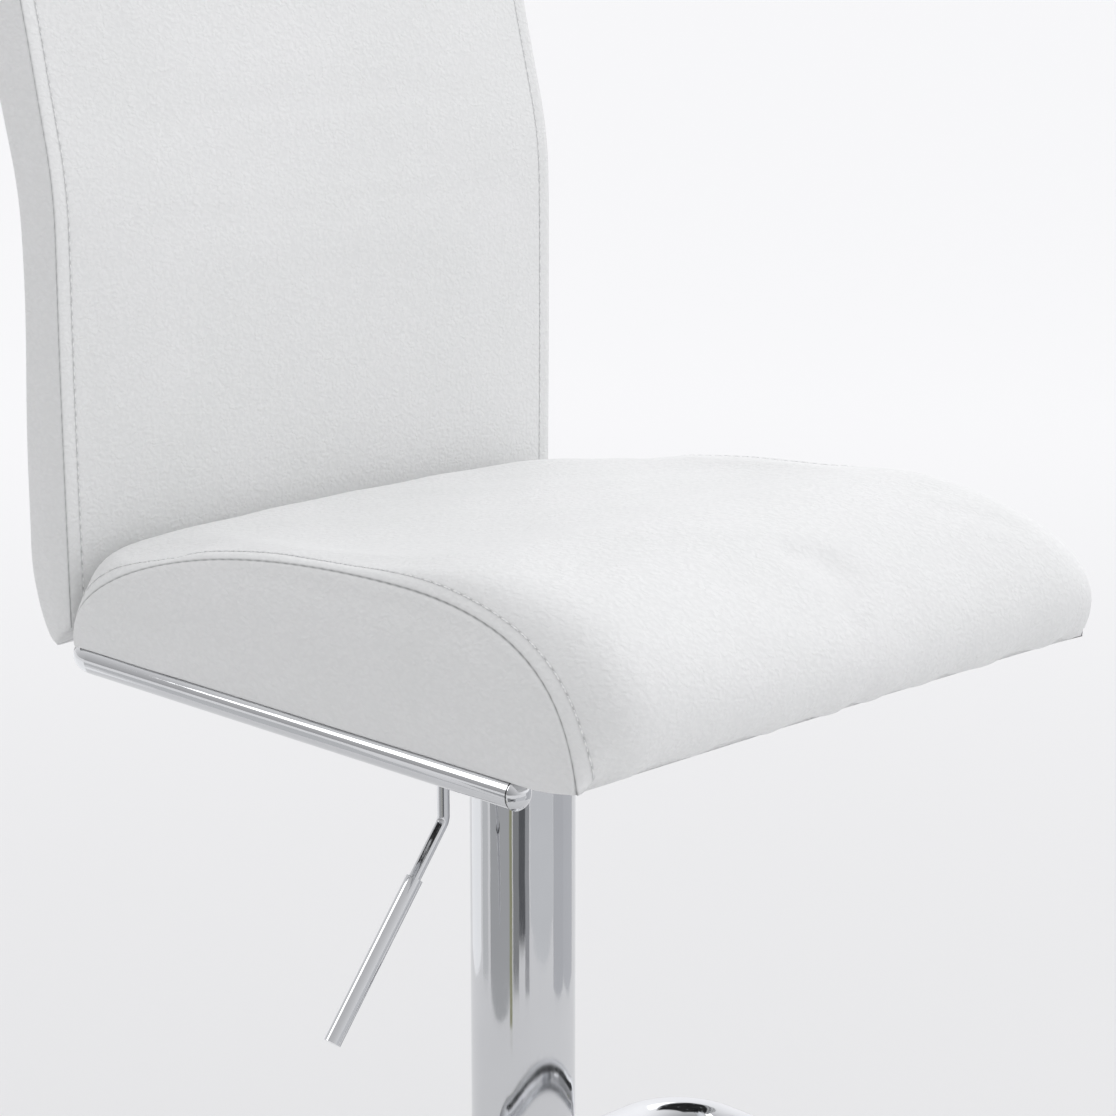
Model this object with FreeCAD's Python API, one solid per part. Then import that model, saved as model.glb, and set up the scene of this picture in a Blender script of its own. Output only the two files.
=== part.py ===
"""Height-adjustable swivel bar stool: chromed round base, gas lift, footrest, padded seat and backrest.

Units are millimetres. +Z is up, the sitter faces -Y, and the origin is on the floor on the column's axis.
Each function makes one or more sub-parts, and each sub-part is written to parts/NODE.step.
"""
import FreeCAD
import Part
import math
import os

V = FreeCAD.Vector
UP = V(0, 0, 1)

# ---------------------------------------------------------------- driving dimensions
RAIL_Z = 540.0          # axis of the seat's side rails at the lowest setting
STROKE = 210.0          # travel of the gas lift
GAP = 0.3               # clearance round pieces that are buried in foam

BASE_R = 205.0          # chromed floor base
BASE_SHEET = 1.5
NECK_R = 34.0
NECK_TOP = 90.0
TRUMPET_R = 70.0        # radius of the sweep from the neck to the disc
DISC_SLOPE = 6.0        # degrees
RIM_R = 4.8

STAND_R = 25.0          # fixed lower column
STAND_WALL = 2.5
STAND_BOTTOM = 18.0
STAND_TOP = 468.0
TAPER_TOP = 84.0        # the stand tube tapers below this height
TAPER_END_R = 24.1

CYL_R = 14.0            # gas spring
CYL_WALL = 1.7
ROD_R = 5.0
SPIGOT_R = 4.0          # lower end of the rod, below its shoulder
SLIDE_FIT = 0.06

COVER_R = 30.0          # chromed sleeve that hides the gas spring
COVER_WALL = 1.2
COVER_BOTTOM = 250.0

RAIL_X = 191.0          # seat frame
RAIL_R = 8.0
RAIL_WALL = 1.5
RAIL_FRONT_Y = -192.0
RAIL_REAR_Y = 160.0
RAIL_BEND_R = 22.0

BOARD_X = 181.0         # plywood seat board
BOARD_FRONT_Y = -216.0
BOARD_REAR_Y = 138.0
BOARD_T = 12.0
SHEET_T = 0.8           # dust cover
BAR_T = 5.0             # flat crossbars
BAR_W = 30.0
BAR_Y = 80.0
PLATE_T = 3.0           # mechanism plate
BOLT_X = 62.0
BOLT_R = 4.0

SEAT_X = 196.0          # seat cushion
BACK_X = 188.0          # backrest
BACK_Y = 183.5          # middle of the backrest's lower, upright part
BACK_HALF_T = 17.0
BACK_STRAIGHT_TOP = 228.0   # above the rails
BACK_BEND_R = 190.0
BACK_LEAN = 15.0        # degrees
BACK_TOP_RUN = 164.0    # length of the leaning part above the bend
UPRIGHT_X = 150.0
SCREW_HEIGHTS = (70.0, 145.0, 220.0)    # panel screws, above the rails

FOOT_TUBE_R = 11.0      # footrest
FOOT_R = 130.0
FOOT_CENTRE_Y = -60.0
FOOT_Z = 222.0
FOOT_BEND_R = 38.0
COLLAR_H = 40.0
COLLAR_R = 30.5

PIVOT_X = -40.0         # height lever
LEVER_R = 3.5
GRIP_R = 5.0
GRIP_L = 100.0
LEVER_DROP_X = -61.0
LEVER_KNEE_Z = -90.0    # from the rails' axis
LEVER_SPLAY = 38.0      # degrees from vertical

# heights of the seat's underside, counted down from the board
BOARD_Z = RAIL_Z + 8.0
SHEET_Z = BOARD_Z - SHEET_T
BAR_Z = SHEET_Z - BAR_T
PLATE_Z = BAR_Z - PLATE_T
BRACKET_H = 30.0
BRACKET_T = 2.5
BRACKET_Y = 30.0
BRACKET_X = 52.0
WEB_Z = PLATE_Z - BRACKET_H
LEVER_Z = RAIL_Z - 13.5
PIVOT_Z = LEVER_Z - LEVER_R - 5.3
SOCKET_TOP = WEB_Z + 3.8
SOCKET_BOTTOM = WEB_Z - 35.2
SOCKET_R = 19.0
CYL_TOP = SOCKET_TOP + 3.0
CYL_TOP_R = 13.1
CYL_LENGTH = 456.0
CYL_BOTTOM = CYL_TOP - CYL_LENGTH
VALVE_L = 45.0
PISTON_L = 15.0
GUIDE_L = 25.0
PISTON_TOP = CYL_BOTTOM + GUIDE_L + STROKE + 1.0 + PISTON_L


# ---------------------------------------------------------------- helpers
def save(name, shape):
    """Writes one sub-part as parts/NAME.step."""
    os.makedirs("parts", exist_ok=True)
    shape.exportStep(os.path.join("parts", name + ".step"))


def rod(radius, z_low, z_high, x=0.0, y=0.0):
    """Upright solid cylinder between two heights."""
    return Part.makeCylinder(radius, z_high - z_low, V(x, y, z_low), UP)


def ring(outer, inner, z_low, z_high, x=0.0, y=0.0):
    """Upright tube or washer."""
    return rod(outer, z_low, z_high, x, y).cut(rod(inner, z_low - 1, z_high + 1, x, y))


def block(x0, x1, y0, y1, z0, z1):
    """Box between two corners."""
    return Part.makeBox(x1 - x0, y1 - y0, z1 - z0, V(x0, y0, z0))


def turned(points):
    """Solid turned round Z from a closed outline of (radius, z) points."""
    outline = Part.makePolygon([V(r, 0, z) for r, z in points + points[:1]])
    return Part.Face(outline).revolve(V(0, 0, 0), UP, 360)


def bent_path(points, radius):
    """Wire through the points, with a tangent arc of that radius at each inner corner."""
    edges = []
    start = points[0]
    for before, corner, after in zip(points, points[1:], points[2:]):
        into = (corner - before).normalize()
        out = (after - corner).normalize()
        turn = into.getAngle(out)
        reach = radius * math.tan(turn / 2)
        first, last = corner - into * reach, corner + out * reach
        inward = (out - into).normalize()
        middle = corner + inward * (radius / math.cos(turn / 2) - radius)
        edges.append(Part.LineSegment(start, first).toShape())
        edges.append(Part.Arc(first, middle, last).toShape())
        start = last
    edges.append(Part.LineSegment(start, points[-1]).toShape())
    return Part.Wire(edges)


def swept(path, radius):
    """Round bar of one radius along a wire."""
    edge = path.Edges[0]
    start = edge.valueAt(edge.FirstParameter)
    direction = edge.tangentAt(edge.FirstParameter)
    circle = Part.Wire([Part.makeCircle(radius, start, direction)])
    return path.makePipeShell([circle], True, False)


def pipe(path, radius, wall):
    """Round tube along a wire."""
    return swept(path, radius).cut(swept(path, radius - wall))


def prism_x(face, half_width):
    """A face in the YZ plane at x = 0, pushed out to both sides."""
    moved = face.copy()
    moved.translate(V(-half_width, 0, 0))
    return moved.extrude(V(2 * half_width, 0, 0))


def yz(y, z):
    """Point in the YZ plane, with z counted from the rails' axis."""
    return V(0, y, RAIL_Z + z)


def spline(points):
    """Smooth edge through the points."""
    curve = Part.BSplineCurve()
    curve.interpolate(points)
    return curve.toShape()


# ---------------------------------------------------------------- stand
def base_parts():
    """Pressed base shell, tapered hub, ballast plate, floor ring and trim collar."""
    slope = math.radians(DISC_SLOPE)
    centre = V(NECK_R + TRUMPET_R, 0, NECK_TOP)

    def trumpet(radius, angle):
        return centre + V(radius * math.cos(angle), 0, radius * math.sin(angle))

    neck_angle, disc_angle = math.pi, 1.5 * math.pi - slope
    mid_angle = (neck_angle + disc_angle) / 2
    disc_inner = trumpet(TRUMPET_R, disc_angle)
    rim_x = BASE_R - RIM_R
    rim_top = V(rim_x + RIM_R * math.sin(slope), 0, 0)
    rim_top.z = disc_inner.z - (rim_top.x - disc_inner.x) * math.tan(slope)
    rim_centre = rim_top - V(math.sin(slope), 0, math.cos(slope)) * RIM_R

    def rim(radius, angle):
        return rim_centre + V(radius * math.cos(angle), 0, radius * math.sin(angle))

    def side(inset):
        """The sheet's outline at a depth inside its outer face, from the neck to the rim."""
        big, small = TRUMPET_R + inset, RIM_R - inset
        top = math.pi / 2 - slope
        points = [trumpet(big, neck_angle), trumpet(big, disc_angle), rim(small, top), rim(small, 0)]
        edges = [
            Part.Arc(points[0], trumpet(big, mid_angle), points[1]).toShape(),
            Part.LineSegment(points[1], points[2]).toShape(),
            Part.Arc(points[2], rim(small, top / 2), points[3]).toShape(),
        ]
        return edges, points[0], points[3]

    outer, outer_top, outer_foot = side(0)
    inner, inner_top, inner_foot = side(BASE_SHEET)
    ends = [
        Part.LineSegment(outer_top, inner_top).toShape(),
        Part.LineSegment(outer_foot, inner_foot).toShape(),
    ]
    outline = Part.Wire(Part.__sortEdges__(outer + inner + ends))
    save("base_shell", Part.Face(outline).revolve(V(0, 0, 0), UP, 360))

    hub_bottom, hub_top, fit = 8.5, 88.0, 0.05
    cone_slope = (STAND_R - TAPER_END_R) / (TAPER_TOP - STAND_BOTTOM)

    def bore(z):
        return TAPER_END_R + (z - STAND_BOTTOM) * cone_slope + fit

    save("base_hub", turned([
        (bore(hub_bottom), hub_bottom), (60, hub_bottom), (60, hub_bottom + 3), (31, hub_bottom + 3),
        (31, hub_top - 6), (NECK_R - BASE_SHEET - 0.05, hub_top - 4), (NECK_R - BASE_SHEET - 0.05, hub_top),
        (STAND_R + fit, hub_top), (STAND_R + fit, TAPER_TOP),
    ]))
    save("ballast_plate", ring(188, 21, hub_bottom - 3.5, hub_bottom))
    ring_out = rim_centre.x + RIM_R - BASE_SHEET
    rim_z = rim_centre.z
    save("floor_ring", ring(ring_out + 0.6, ring_out - 11, 0, rim_z - 0.1).fuse(
        ring(ring_out - 0.6, ring_out - 2.5, rim_z - 0.1, rim_z + 1.2)).removeSplitter())
    collar_in = STAND_R + 0.2
    save("column_collar", turned([
        (collar_in, NECK_TOP + 0.2), (36.5, NECK_TOP + 0.2), (36.5, NECK_TOP + 2.5),
        (34, NECK_TOP + 5), (29, NECK_TOP + 8), (27, NECK_TOP + 12), (collar_in, NECK_TOP + 12),
    ]))


def stand_column_parts():
    """Stand tube with its closed foot, guide bush, and the thrust bearing under the gas spring's rod."""
    inner = STAND_R - STAND_WALL
    save("stand_tube", turned([
        (TAPER_END_R - 2.3, STAND_BOTTOM), (TAPER_END_R, STAND_BOTTOM), (STAND_R, TAPER_TOP),
        (STAND_R, STAND_TOP), (inner, STAND_TOP), (inner, TAPER_TOP), (TAPER_END_R - 2.3, TAPER_TOP - 8),
    ]))
    foot_low, foot_high = 22.0, 27.0
    save("tube_foot", ring(TAPER_END_R - 2.35, SPIGOT_R + 1.2, foot_low, foot_high))
    bush_in = CYL_R + SLIDE_FIT
    save("guide_bush", turned([
        (bush_in, 392), (inner - 0.05, 392), (inner - 0.05, STAND_TOP + 0.1), (STAND_R - 0.3, STAND_TOP + 0.1),
        (STAND_R - 0.3, STAND_TOP + 2.4), (bush_in + 0.8, STAND_TOP + 2.4), (bush_in, STAND_TOP + 1.4),
    ]))

    washer_t, ball_r = 2.0, 2.4
    low = foot_high + washer_t
    save("bearing_lower_washer", ring(14, SPIGOT_R + 0.3, foot_high, low))
    cage = ring(13.4, 5.6, low + 1.4, low + 3.4)
    balls = []
    for i in range(9):
        angle = 2 * math.pi * i / 9
        spot = V(9.5 * math.cos(angle), 9.5 * math.sin(angle), low + ball_r)
        balls.append(Part.makeSphere(ball_r, spot))
        cage = cage.cut(Part.makeSphere(ball_r + 0.05, spot))
    save("bearing_cage", cage)
    save("bearing_balls", Part.makeCompound(balls))
    return low + 2 * ball_r + 0.05


def footrest_parts():
    """Bent footrest hoop, the collar that it is welded to, and the collar's two set screws."""
    z = FOOT_Z
    bend_y = FOOT_CENTRE_Y
    edges = []
    for sign in (1, -1):
        arm_end = V(sign * (FOOT_R - FOOT_BEND_R), 0, z)
        bend_end = V(sign * FOOT_R, -FOOT_BEND_R, z)
        diagonal = FOOT_BEND_R * math.sqrt(0.5)
        bend_mid = V(sign * (FOOT_R - FOOT_BEND_R + diagonal), diagonal - FOOT_BEND_R, z)
        edges += [
            Part.LineSegment(V(sign * (COLLAR_R - 3.0), 0, z), arm_end).toShape(),
            Part.Arc(arm_end, bend_mid, bend_end).toShape(),
            Part.LineSegment(bend_end, V(sign * FOOT_R, bend_y, z)).toShape(),
        ]
    front = Part.Arc(V(FOOT_R, bend_y, z), V(0, bend_y - FOOT_R, z), V(-FOOT_R, bend_y, z)).toShape()
    path = Part.Wire(Part.__sortEdges__(edges + [front]))
    collar = ring(COLLAR_R, STAND_R + 0.05, z - COLLAR_H / 2, z + COLLAR_H / 2 + 3)
    solid_collar = rod(COLLAR_R, z - COLLAR_H, z + COLLAR_H)
    save("footrest_hoop", pipe(path, FOOT_TUBE_R, 1.5).cut(solid_collar))
    screws = []
    for dz in (-9, 9):
        hole = Part.makeCylinder(3.0, 20, V(0, 15, z + dz), V(0, 1, 0))
        collar = collar.cut(hole)
        screw = Part.makeCylinder(2.95, COLLAR_R - STAND_R + 1.5, V(0, STAND_R + 0.1, z + dz), V(0, 1, 0))
        key = Part.makeCylinder(1.5, 4, V(0, COLLAR_R - 1.0, z + dz), V(0, 1, 0))
        screws.append(screw.cut(key))
    save("footrest_collar", collar)
    save("footrest_set_screws", Part.makeCompound(screws))


# ---------------------------------------------------------------- gas spring
def gas_rod_parts(shoulder):
    """Piston rod with its shoulder on the thrust bearing, piston, bump stop, washers and retaining clip."""
    groove_z, clip_t = 18.4, 1.2
    piston_low = PISTON_TOP - PISTON_L
    washer_t = 2.0
    shoulder_z = shoulder + washer_t
    save("bearing_upper_washer", ring(14, SPIGOT_R + 0.02, shoulder, shoulder_z))
    save("bump_stop", turned([
        (ROD_R + 0.3, shoulder_z), (13, shoulder_z), (13, shoulder_z + 6), (11, shoulder_z + 12),
        (13, shoulder_z + 18), (12, CYL_BOTTOM - 1), (ROD_R + 0.3, CYL_BOTTOM - 1),
    ]))
    save("piston_rod", turned([
        (0, 16.5), (SPIGOT_R - 0.6, 16.5), (SPIGOT_R, 17.1), (SPIGOT_R, groove_z), (SPIGOT_R - 0.8, groove_z),
        (SPIGOT_R - 0.8, groove_z + clip_t + 0.1), (SPIGOT_R, groove_z + clip_t + 0.1), (SPIGOT_R, shoulder_z),
        (ROD_R, shoulder_z), (ROD_R, piston_low), (3.0, piston_low), (3.0, PISTON_TOP - 1), (0, PISTON_TOP - 1),
    ]))
    clip = ring(8.5, SPIGOT_R - 0.75, groove_z + 0.05, groove_z + 0.05 + clip_t)
    slot = block(0, 12, -2.2, 2.2, groove_z - 1, groove_z + 3)
    save("rod_clip", clip.cut(slot))
    save("clip_washer", ring(10.5, SPIGOT_R + 0.1, groove_z + clip_t + 0.2, groove_z + clip_t + 1.8))
    piston_r = CYL_R - CYL_WALL - SLIDE_FIT
    save("piston", turned([
        (3.05, piston_low), (piston_r, piston_low), (piston_r, piston_low + 5), (piston_r - 1.5, piston_low + 5),
        (piston_r - 1.5, piston_low + 9), (piston_r, piston_low + 9), (piston_r, PISTON_TOP), (3.05, PISTON_TOP),
    ]))


def cylinder_parts():
    """Gas spring's cylinder with its tapered head, valve block, rod guide and release pin."""
    inner = CYL_R - CYL_WALL
    head_r = CYL_TOP_R - 0.05
    save("gas_cylinder", turned([
        (inner, CYL_BOTTOM), (CYL_R, CYL_BOTTOM), (CYL_R, SOCKET_BOTTOM), (head_r, CYL_TOP),
        (9.0, CYL_TOP), (9.0, CYL_TOP - 2), (head_r - CYL_WALL, CYL_TOP - 2),
        (inner, SOCKET_BOTTOM - 6),
    ]))
    valve_r = head_r - CYL_WALL - 0.05
    valve_low = CYL_TOP - VALVE_L
    valve = turned([
        (0, valve_low), (valve_r, valve_low), (valve_r, CYL_TOP - 2.1), (8.9, CYL_TOP - 2.1),
        (8.9, CYL_TOP - 0.2), (0, CYL_TOP - 0.2),
    ])
    pin_r = 4.0
    pin_low = valve_low + 14
    save("valve_block", valve.cut(rod(pin_r + SLIDE_FIT, pin_low - 6, CYL_TOP + 1)))
    pin_top = LEVER_Z - LEVER_R - 0.15
    dome = Part.makeSphere(pin_r, V(0, 0, pin_top - pin_r))
    save("release_pin", rod(pin_r, pin_low, pin_top - pin_r).fuse(dome).removeSplitter())
    guide_in = ROD_R + SLIDE_FIT
    save("rod_guide", ring(inner - 0.05, guide_in, CYL_BOTTOM + 1, CYL_BOTTOM + GUIDE_L))


def column_cover_parts():
    """Chromed sleeve over the gas spring, its cap on the socket and its guide ring on the stand tube."""
    inner = COVER_R - COVER_WALL
    top = WEB_Z - 0.5
    save("column_sleeve", ring(COVER_R, inner, COVER_BOTTOM, top))
    save("sleeve_cap", ring(inner - 0.05, SOCKET_R + 0.05, top - 8, top))
    save("sleeve_guide_ring", ring(inner - 0.05, STAND_R + 0.35, COVER_BOTTOM + 0.5, COVER_BOTTOM + 12.5))


# ---------------------------------------------------------------- seat mechanism
def mechanism_parts():
    """Mechanism plate, lever bracket and tapered socket."""
    holes = [rod(BOLT_R + 0.4, PLATE_Z - 5, BAR_Z + 5, sx * BOLT_X, sy * BAR_Y) for sx in (-1, 1) for sy in (-1, 1)]
    plate = block(-82, 82, -98, 98, PLATE_Z, BAR_Z)
    plate = plate.makeFillet(12, [e for e in plate.Edges if abs(e.BoundBox.ZLength - PLATE_T) < 0.01])
    for hole in holes:
        plate = plate.cut(hole)
    save("mechanism_plate", plate)

    channel = block(-BRACKET_X, BRACKET_X, -BRACKET_Y, BRACKET_Y, WEB_Z, PLATE_Z)
    wall_y = BRACKET_Y - BRACKET_T
    channel = channel.cut(block(-99, 99, -wall_y, wall_y, WEB_Z + BRACKET_T, PLATE_Z + 1))
    channel = channel.cut(rod(SOCKET_R + 0.05, WEB_Z - 1, PLATE_Z))
    pin_hole = Part.makeCylinder(3.05, 80, V(PIVOT_X, -40, PIVOT_Z), V(0, 1, 0))
    save("lever_bracket", channel.cut(pin_hole))

    bore_top = CYL_TOP_R + (CYL_R - CYL_TOP_R) * (CYL_TOP - SOCKET_TOP) / (CYL_TOP - SOCKET_BOTTOM)
    save("taper_socket", turned([
        (CYL_R + 0.02, SOCKET_BOTTOM), (SOCKET_R - 1, SOCKET_BOTTOM), (SOCKET_R, SOCKET_BOTTOM + 1),
        (SOCKET_R, SOCKET_TOP), (bore_top, SOCKET_TOP),
    ]))

    pin_half = BRACKET_Y + 4.0
    pin = Part.makeCylinder(3.0, 2 * pin_half, V(PIVOT_X, -pin_half, PIVOT_Z), V(0, 1, 0))
    groove_y = BRACKET_Y + 0.3
    for y in (-groove_y - 1.1, groove_y):
        groove = Part.makeCylinder(4, 1.1, V(PIVOT_X, y, PIVOT_Z), V(0, 1, 0))
        core = Part.makeCylinder(2.3, 1.1, V(PIVOT_X, y, PIVOT_Z), V(0, 1, 0))
        pin = pin.cut(groove.cut(core))
    save("lever_pivot_pin", pin)
    clips = []
    for y in (-groove_y - 1.0, groove_y + 0.1):
        disc = Part.makeCylinder(6, 0.9, V(PIVOT_X, y, PIVOT_Z), V(0, 1, 0))
        bore = Part.makeCylinder(2.35, 0.9, V(PIVOT_X, y, PIVOT_Z), V(0, 1, 0))
        mouth = block(PIVOT_X - 1.6, PIVOT_X + 1.6, y - 1, y + 2, PIVOT_Z - 8, PIVOT_Z)
        clips.append(disc.cut(bore).cut(mouth))
    save("pivot_pin_clips", Part.makeCompound(clips))


def lever_parts():
    """Bent height lever, welded to a cross barrel that turns on the pivot pin, with a grip tube."""
    splay = math.radians(LEVER_SPLAY)
    down = V(-math.sin(splay), 0, -math.cos(splay))
    knee = V(LEVER_DROP_X, 0, RAIL_Z + LEVER_KNEE_Z)
    grip_start = knee + down * 36
    grip_end = grip_start + down * GRIP_L
    rod_end = grip_start + down * (GRIP_L - 5)
    path = bent_path([V(10, 0, LEVER_Z), V(LEVER_DROP_X, 0, LEVER_Z), knee, rod_end], 9.0)
    barrel_axis = V(0, 1, 0)
    barrel = Part.makeCylinder(5.28, 40, V(PIVOT_X, -20, PIVOT_Z), barrel_axis)
    bore = Part.makeCylinder(3.06, 44, V(PIVOT_X, -22, PIVOT_Z), barrel_axis)
    save("lever_rod", swept(path, LEVER_R))
    save("lever_barrel", barrel.cut(bore))
    grip = Part.makeCylinder(GRIP_R, (grip_end - grip_start).Length, grip_start, down)
    save("lever_grip", grip.cut(swept(Part.Wire([Part.LineSegment(knee, rod_end).toShape()]), LEVER_R + 0.02)))


# ---------------------------------------------------------------- seat frame
def rail_path():
    """The seat tube's route: along one side, across behind the seat and along the other side."""
    return bent_path([
        V(-RAIL_X, RAIL_FRONT_Y, RAIL_Z), V(-RAIL_X, RAIL_REAR_Y, RAIL_Z),
        V(RAIL_X, RAIL_REAR_Y, RAIL_Z), V(RAIL_X, RAIL_FRONT_Y, RAIL_Z),
    ], RAIL_BEND_R)


def back_line(offset):
    """Edges of the backrest's side view at a distance behind its middle, and both end points."""
    lean = math.radians(BACK_LEAN)
    centre_y, radius = BACK_Y + BACK_BEND_R, BACK_BEND_R - offset

    def on_bend(angle):
        return yz(centre_y - radius * math.cos(angle), BACK_STRAIGHT_TOP + radius * math.sin(angle))

    bottom = yz(BACK_Y + offset, 50.0)
    bend_end = on_bend(lean)
    top = bend_end + V(0, math.sin(lean), math.cos(lean)) * BACK_TOP_RUN
    edges = [
        Part.LineSegment(bottom, on_bend(0)).toShape(),
        Part.Arc(on_bend(0), on_bend(lean / 2), bend_end).toShape(),
        Part.LineSegment(bend_end, top).toShape(),
    ]
    return edges, bottom, top


def upright_path(x):
    """A backrest upright's route, from the rear seat tube to the top tube."""
    lean = math.radians(BACK_LEAN)
    run_in = math.tan(lean / 2) * BACK_BEND_R
    corner = yz(BACK_Y, BACK_STRAIGHT_TOP + run_in)
    top = corner + V(0, math.sin(lean), math.cos(lean)) * (run_in + BACK_TOP_RUN - 18)
    low = bent_path([yz(RAIL_REAR_Y + 1, 1), yz(BACK_Y, 52), yz(BACK_Y, BACK_STRAIGHT_TOP - 60)], 40)
    high = bent_path([yz(BACK_Y, BACK_STRAIGHT_TOP - 60), corner, top], BACK_BEND_R)
    path = Part.Wire(low.Edges + high.Edges)
    path.translate(V(x, 0, 0))
    return path, top + V(x, 0, 0)


def frame_parts():
    """Chromed seat tube, its end caps, crossbars, and the frame inside the backrest."""
    path = rail_path()
    solid_rail = swept(path, RAIL_R)
    save("seat_tube", pipe(path, RAIL_R, RAIL_WALL))

    plug_r, flange_r, flange_t, dome_h = RAIL_R - RAIL_WALL - 0.05, RAIL_R + 0.3, 1.2, 5.0
    dome_r = (flange_r ** 2 + dome_h ** 2) / (2 * dome_h)
    half_angle = math.asin(flange_r / dome_r) / 2
    tip_z = flange_t + dome_h
    mid = V(dome_r * math.sin(half_angle), 0, tip_z - dome_r + dome_r * math.cos(half_angle))
    corners = [V(0, 0, tip_z), V(0, 0, -12), V(plug_r, 0, -12), V(plug_r, 0, 0), V(flange_r, 0, 0),
               V(flange_r, 0, flange_t)]
    dome = Part.Arc(corners[-1], mid, corners[0]).toShape()
    cap = Part.Face(Part.Wire(Part.makePolygon(corners).Edges + [dome])).revolve(V(0, 0, 0), UP, 360)
    cap.rotate(V(0, 0, 0), V(1, 0, 0), 90)
    for side, x in (("right", -RAIL_X), ("left", RAIL_X)):
        fitted = cap.copy()
        fitted.translate(V(x, RAIL_FRONT_Y, RAIL_Z))
        save("tube_cap_" + side, fitted)

    for name, y in (("crossbar_front", -BAR_Y), ("crossbar_rear", BAR_Y)):
        bar = block(-RAIL_X, RAIL_X, y - BAR_W / 2, y + BAR_W / 2, BAR_Z, SHEET_Z).cut(solid_rail)
        for x in (-BOLT_X, BOLT_X):
            bar = bar.cut(rod(BOLT_R + 0.4, BAR_Z - 1, SHEET_Z + 1, x, y))
        for x in (-150, 150):
            bar = bar.cut(rod(2.4, BAR_Z - 1, SHEET_Z + 1, x, y))
        save(name, bar)

    uprights = []
    for side, x in (("right", -UPRIGHT_X), ("left", UPRIGHT_X)):
        path, top = upright_path(x)
        bar = swept(path, RAIL_R)
        uprights.append(bar)
        tube = pipe(path, RAIL_R, RAIL_WALL).cut(solid_rail)
        for z in SCREW_HEIGHTS:
            tube = tube.cut(Part.makeCylinder(1.95, 20, V(x, BACK_Y, RAIL_Z + z), V(0, 1, 0)))
        save("back_upright_" + side, tube)
    lean = math.radians(BACK_LEAN)
    along = V(0, math.sin(lean), math.cos(lean))
    top_centre = V(0, top.y, top.z) + along * RAIL_R
    half = UPRIGHT_X + 14
    top_tube = Part.makeCylinder(RAIL_R, 2 * half, top_centre - V(half, 0, 0), V(1, 0, 0))
    hollow = Part.makeCylinder(RAIL_R - RAIL_WALL, 2 * half, top_centre - V(half, 0, 0), V(1, 0, 0))
    trimmed = top_tube.cut(hollow)
    for bar in uprights:
        trimmed = trimmed.cut(bar)
    save("back_top_tube", trimmed)
    return top_tube


def board_and_fasteners():
    """Plywood seat board, dust cover, bolts with washers and tee nuts, and crossbar screws."""
    board = block(-BOARD_X, BOARD_X, BOARD_FRONT_Y, BOARD_REAR_Y, BOARD_Z, BOARD_Z + BOARD_T)
    board = board.makeFillet(20, [e for e in board.Edges if abs(e.BoundBox.ZLength - BOARD_T) < 0.01])
    sheet = block(-BOARD_X + 6, BOARD_X - 6, BOARD_FRONT_Y + 8, BOARD_REAR_Y - 6, SHEET_Z, BOARD_Z)
    bolts, washers, nuts, screws = [], [], [], []
    for sx in (-1, 1):
        for sy in (-1, 1):
            x, y = sx * BOLT_X, sy * BAR_Y
            washer_z = PLATE_Z - 1.6
            shank = rod(BOLT_R, washer_z, BOARD_Z + 11, x, y)
            bolts.append(rod(6.5, washer_z - 5.3, washer_z, x, y).cut(
                rod(2.5, washer_z - 6, washer_z - 2.2, x, y)).fuse(shank).removeSplitter())
            washers.append(ring(8, BOLT_R + 0.2, washer_z, PLATE_Z, x, y))
            barrel = ring(5.2, BOLT_R + 0.05, BOARD_Z + 1, BOARD_Z + BOARD_T, x, y)
            flange = ring(11, BOLT_R + 0.05, BOARD_Z + BOARD_T, BOARD_Z + BOARD_T + 1.2, x, y)
            nuts.append(barrel.fuse(flange).removeSplitter())
            board = board.cut(rod(5.25, BOARD_Z - 1, BOARD_Z + BOARD_T + 1, x, y))
            sheet = sheet.cut(rod(5.25, SHEET_Z - 1, BOARD_Z + 1, x, y))
            sx_x = sx * 150
            screw_head = rod(4.2, BAR_Z - 2.6, BAR_Z, sx_x, y)
            screws.append(screw_head.fuse(rod(2.2, BAR_Z, BOARD_Z + 9, sx_x, y)).removeSplitter())
            board = board.cut(rod(2.25, BOARD_Z - 1, BOARD_Z + 9.1, sx_x, y))
            sheet = sheet.cut(rod(2.4, SHEET_Z - 1, BOARD_Z + 1, sx_x, y))
    save("seat_board", board)
    save("dust_cover", sheet)
    save("plate_bolts", Part.makeCompound(bolts))
    save("bolt_washers", Part.makeCompound(washers))
    save("tee_nuts", Part.makeCompound(nuts))
    save("crossbar_screws", Part.makeCompound(screws))
    pockets = [rod(11.3, BOARD_Z + BOARD_T - 1, BOARD_Z + BOARD_T + 1.6, sx * BOLT_X, sy * BAR_Y)
               for sx in (-1, 1) for sy in (-1, 1)]
    return pockets


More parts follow.
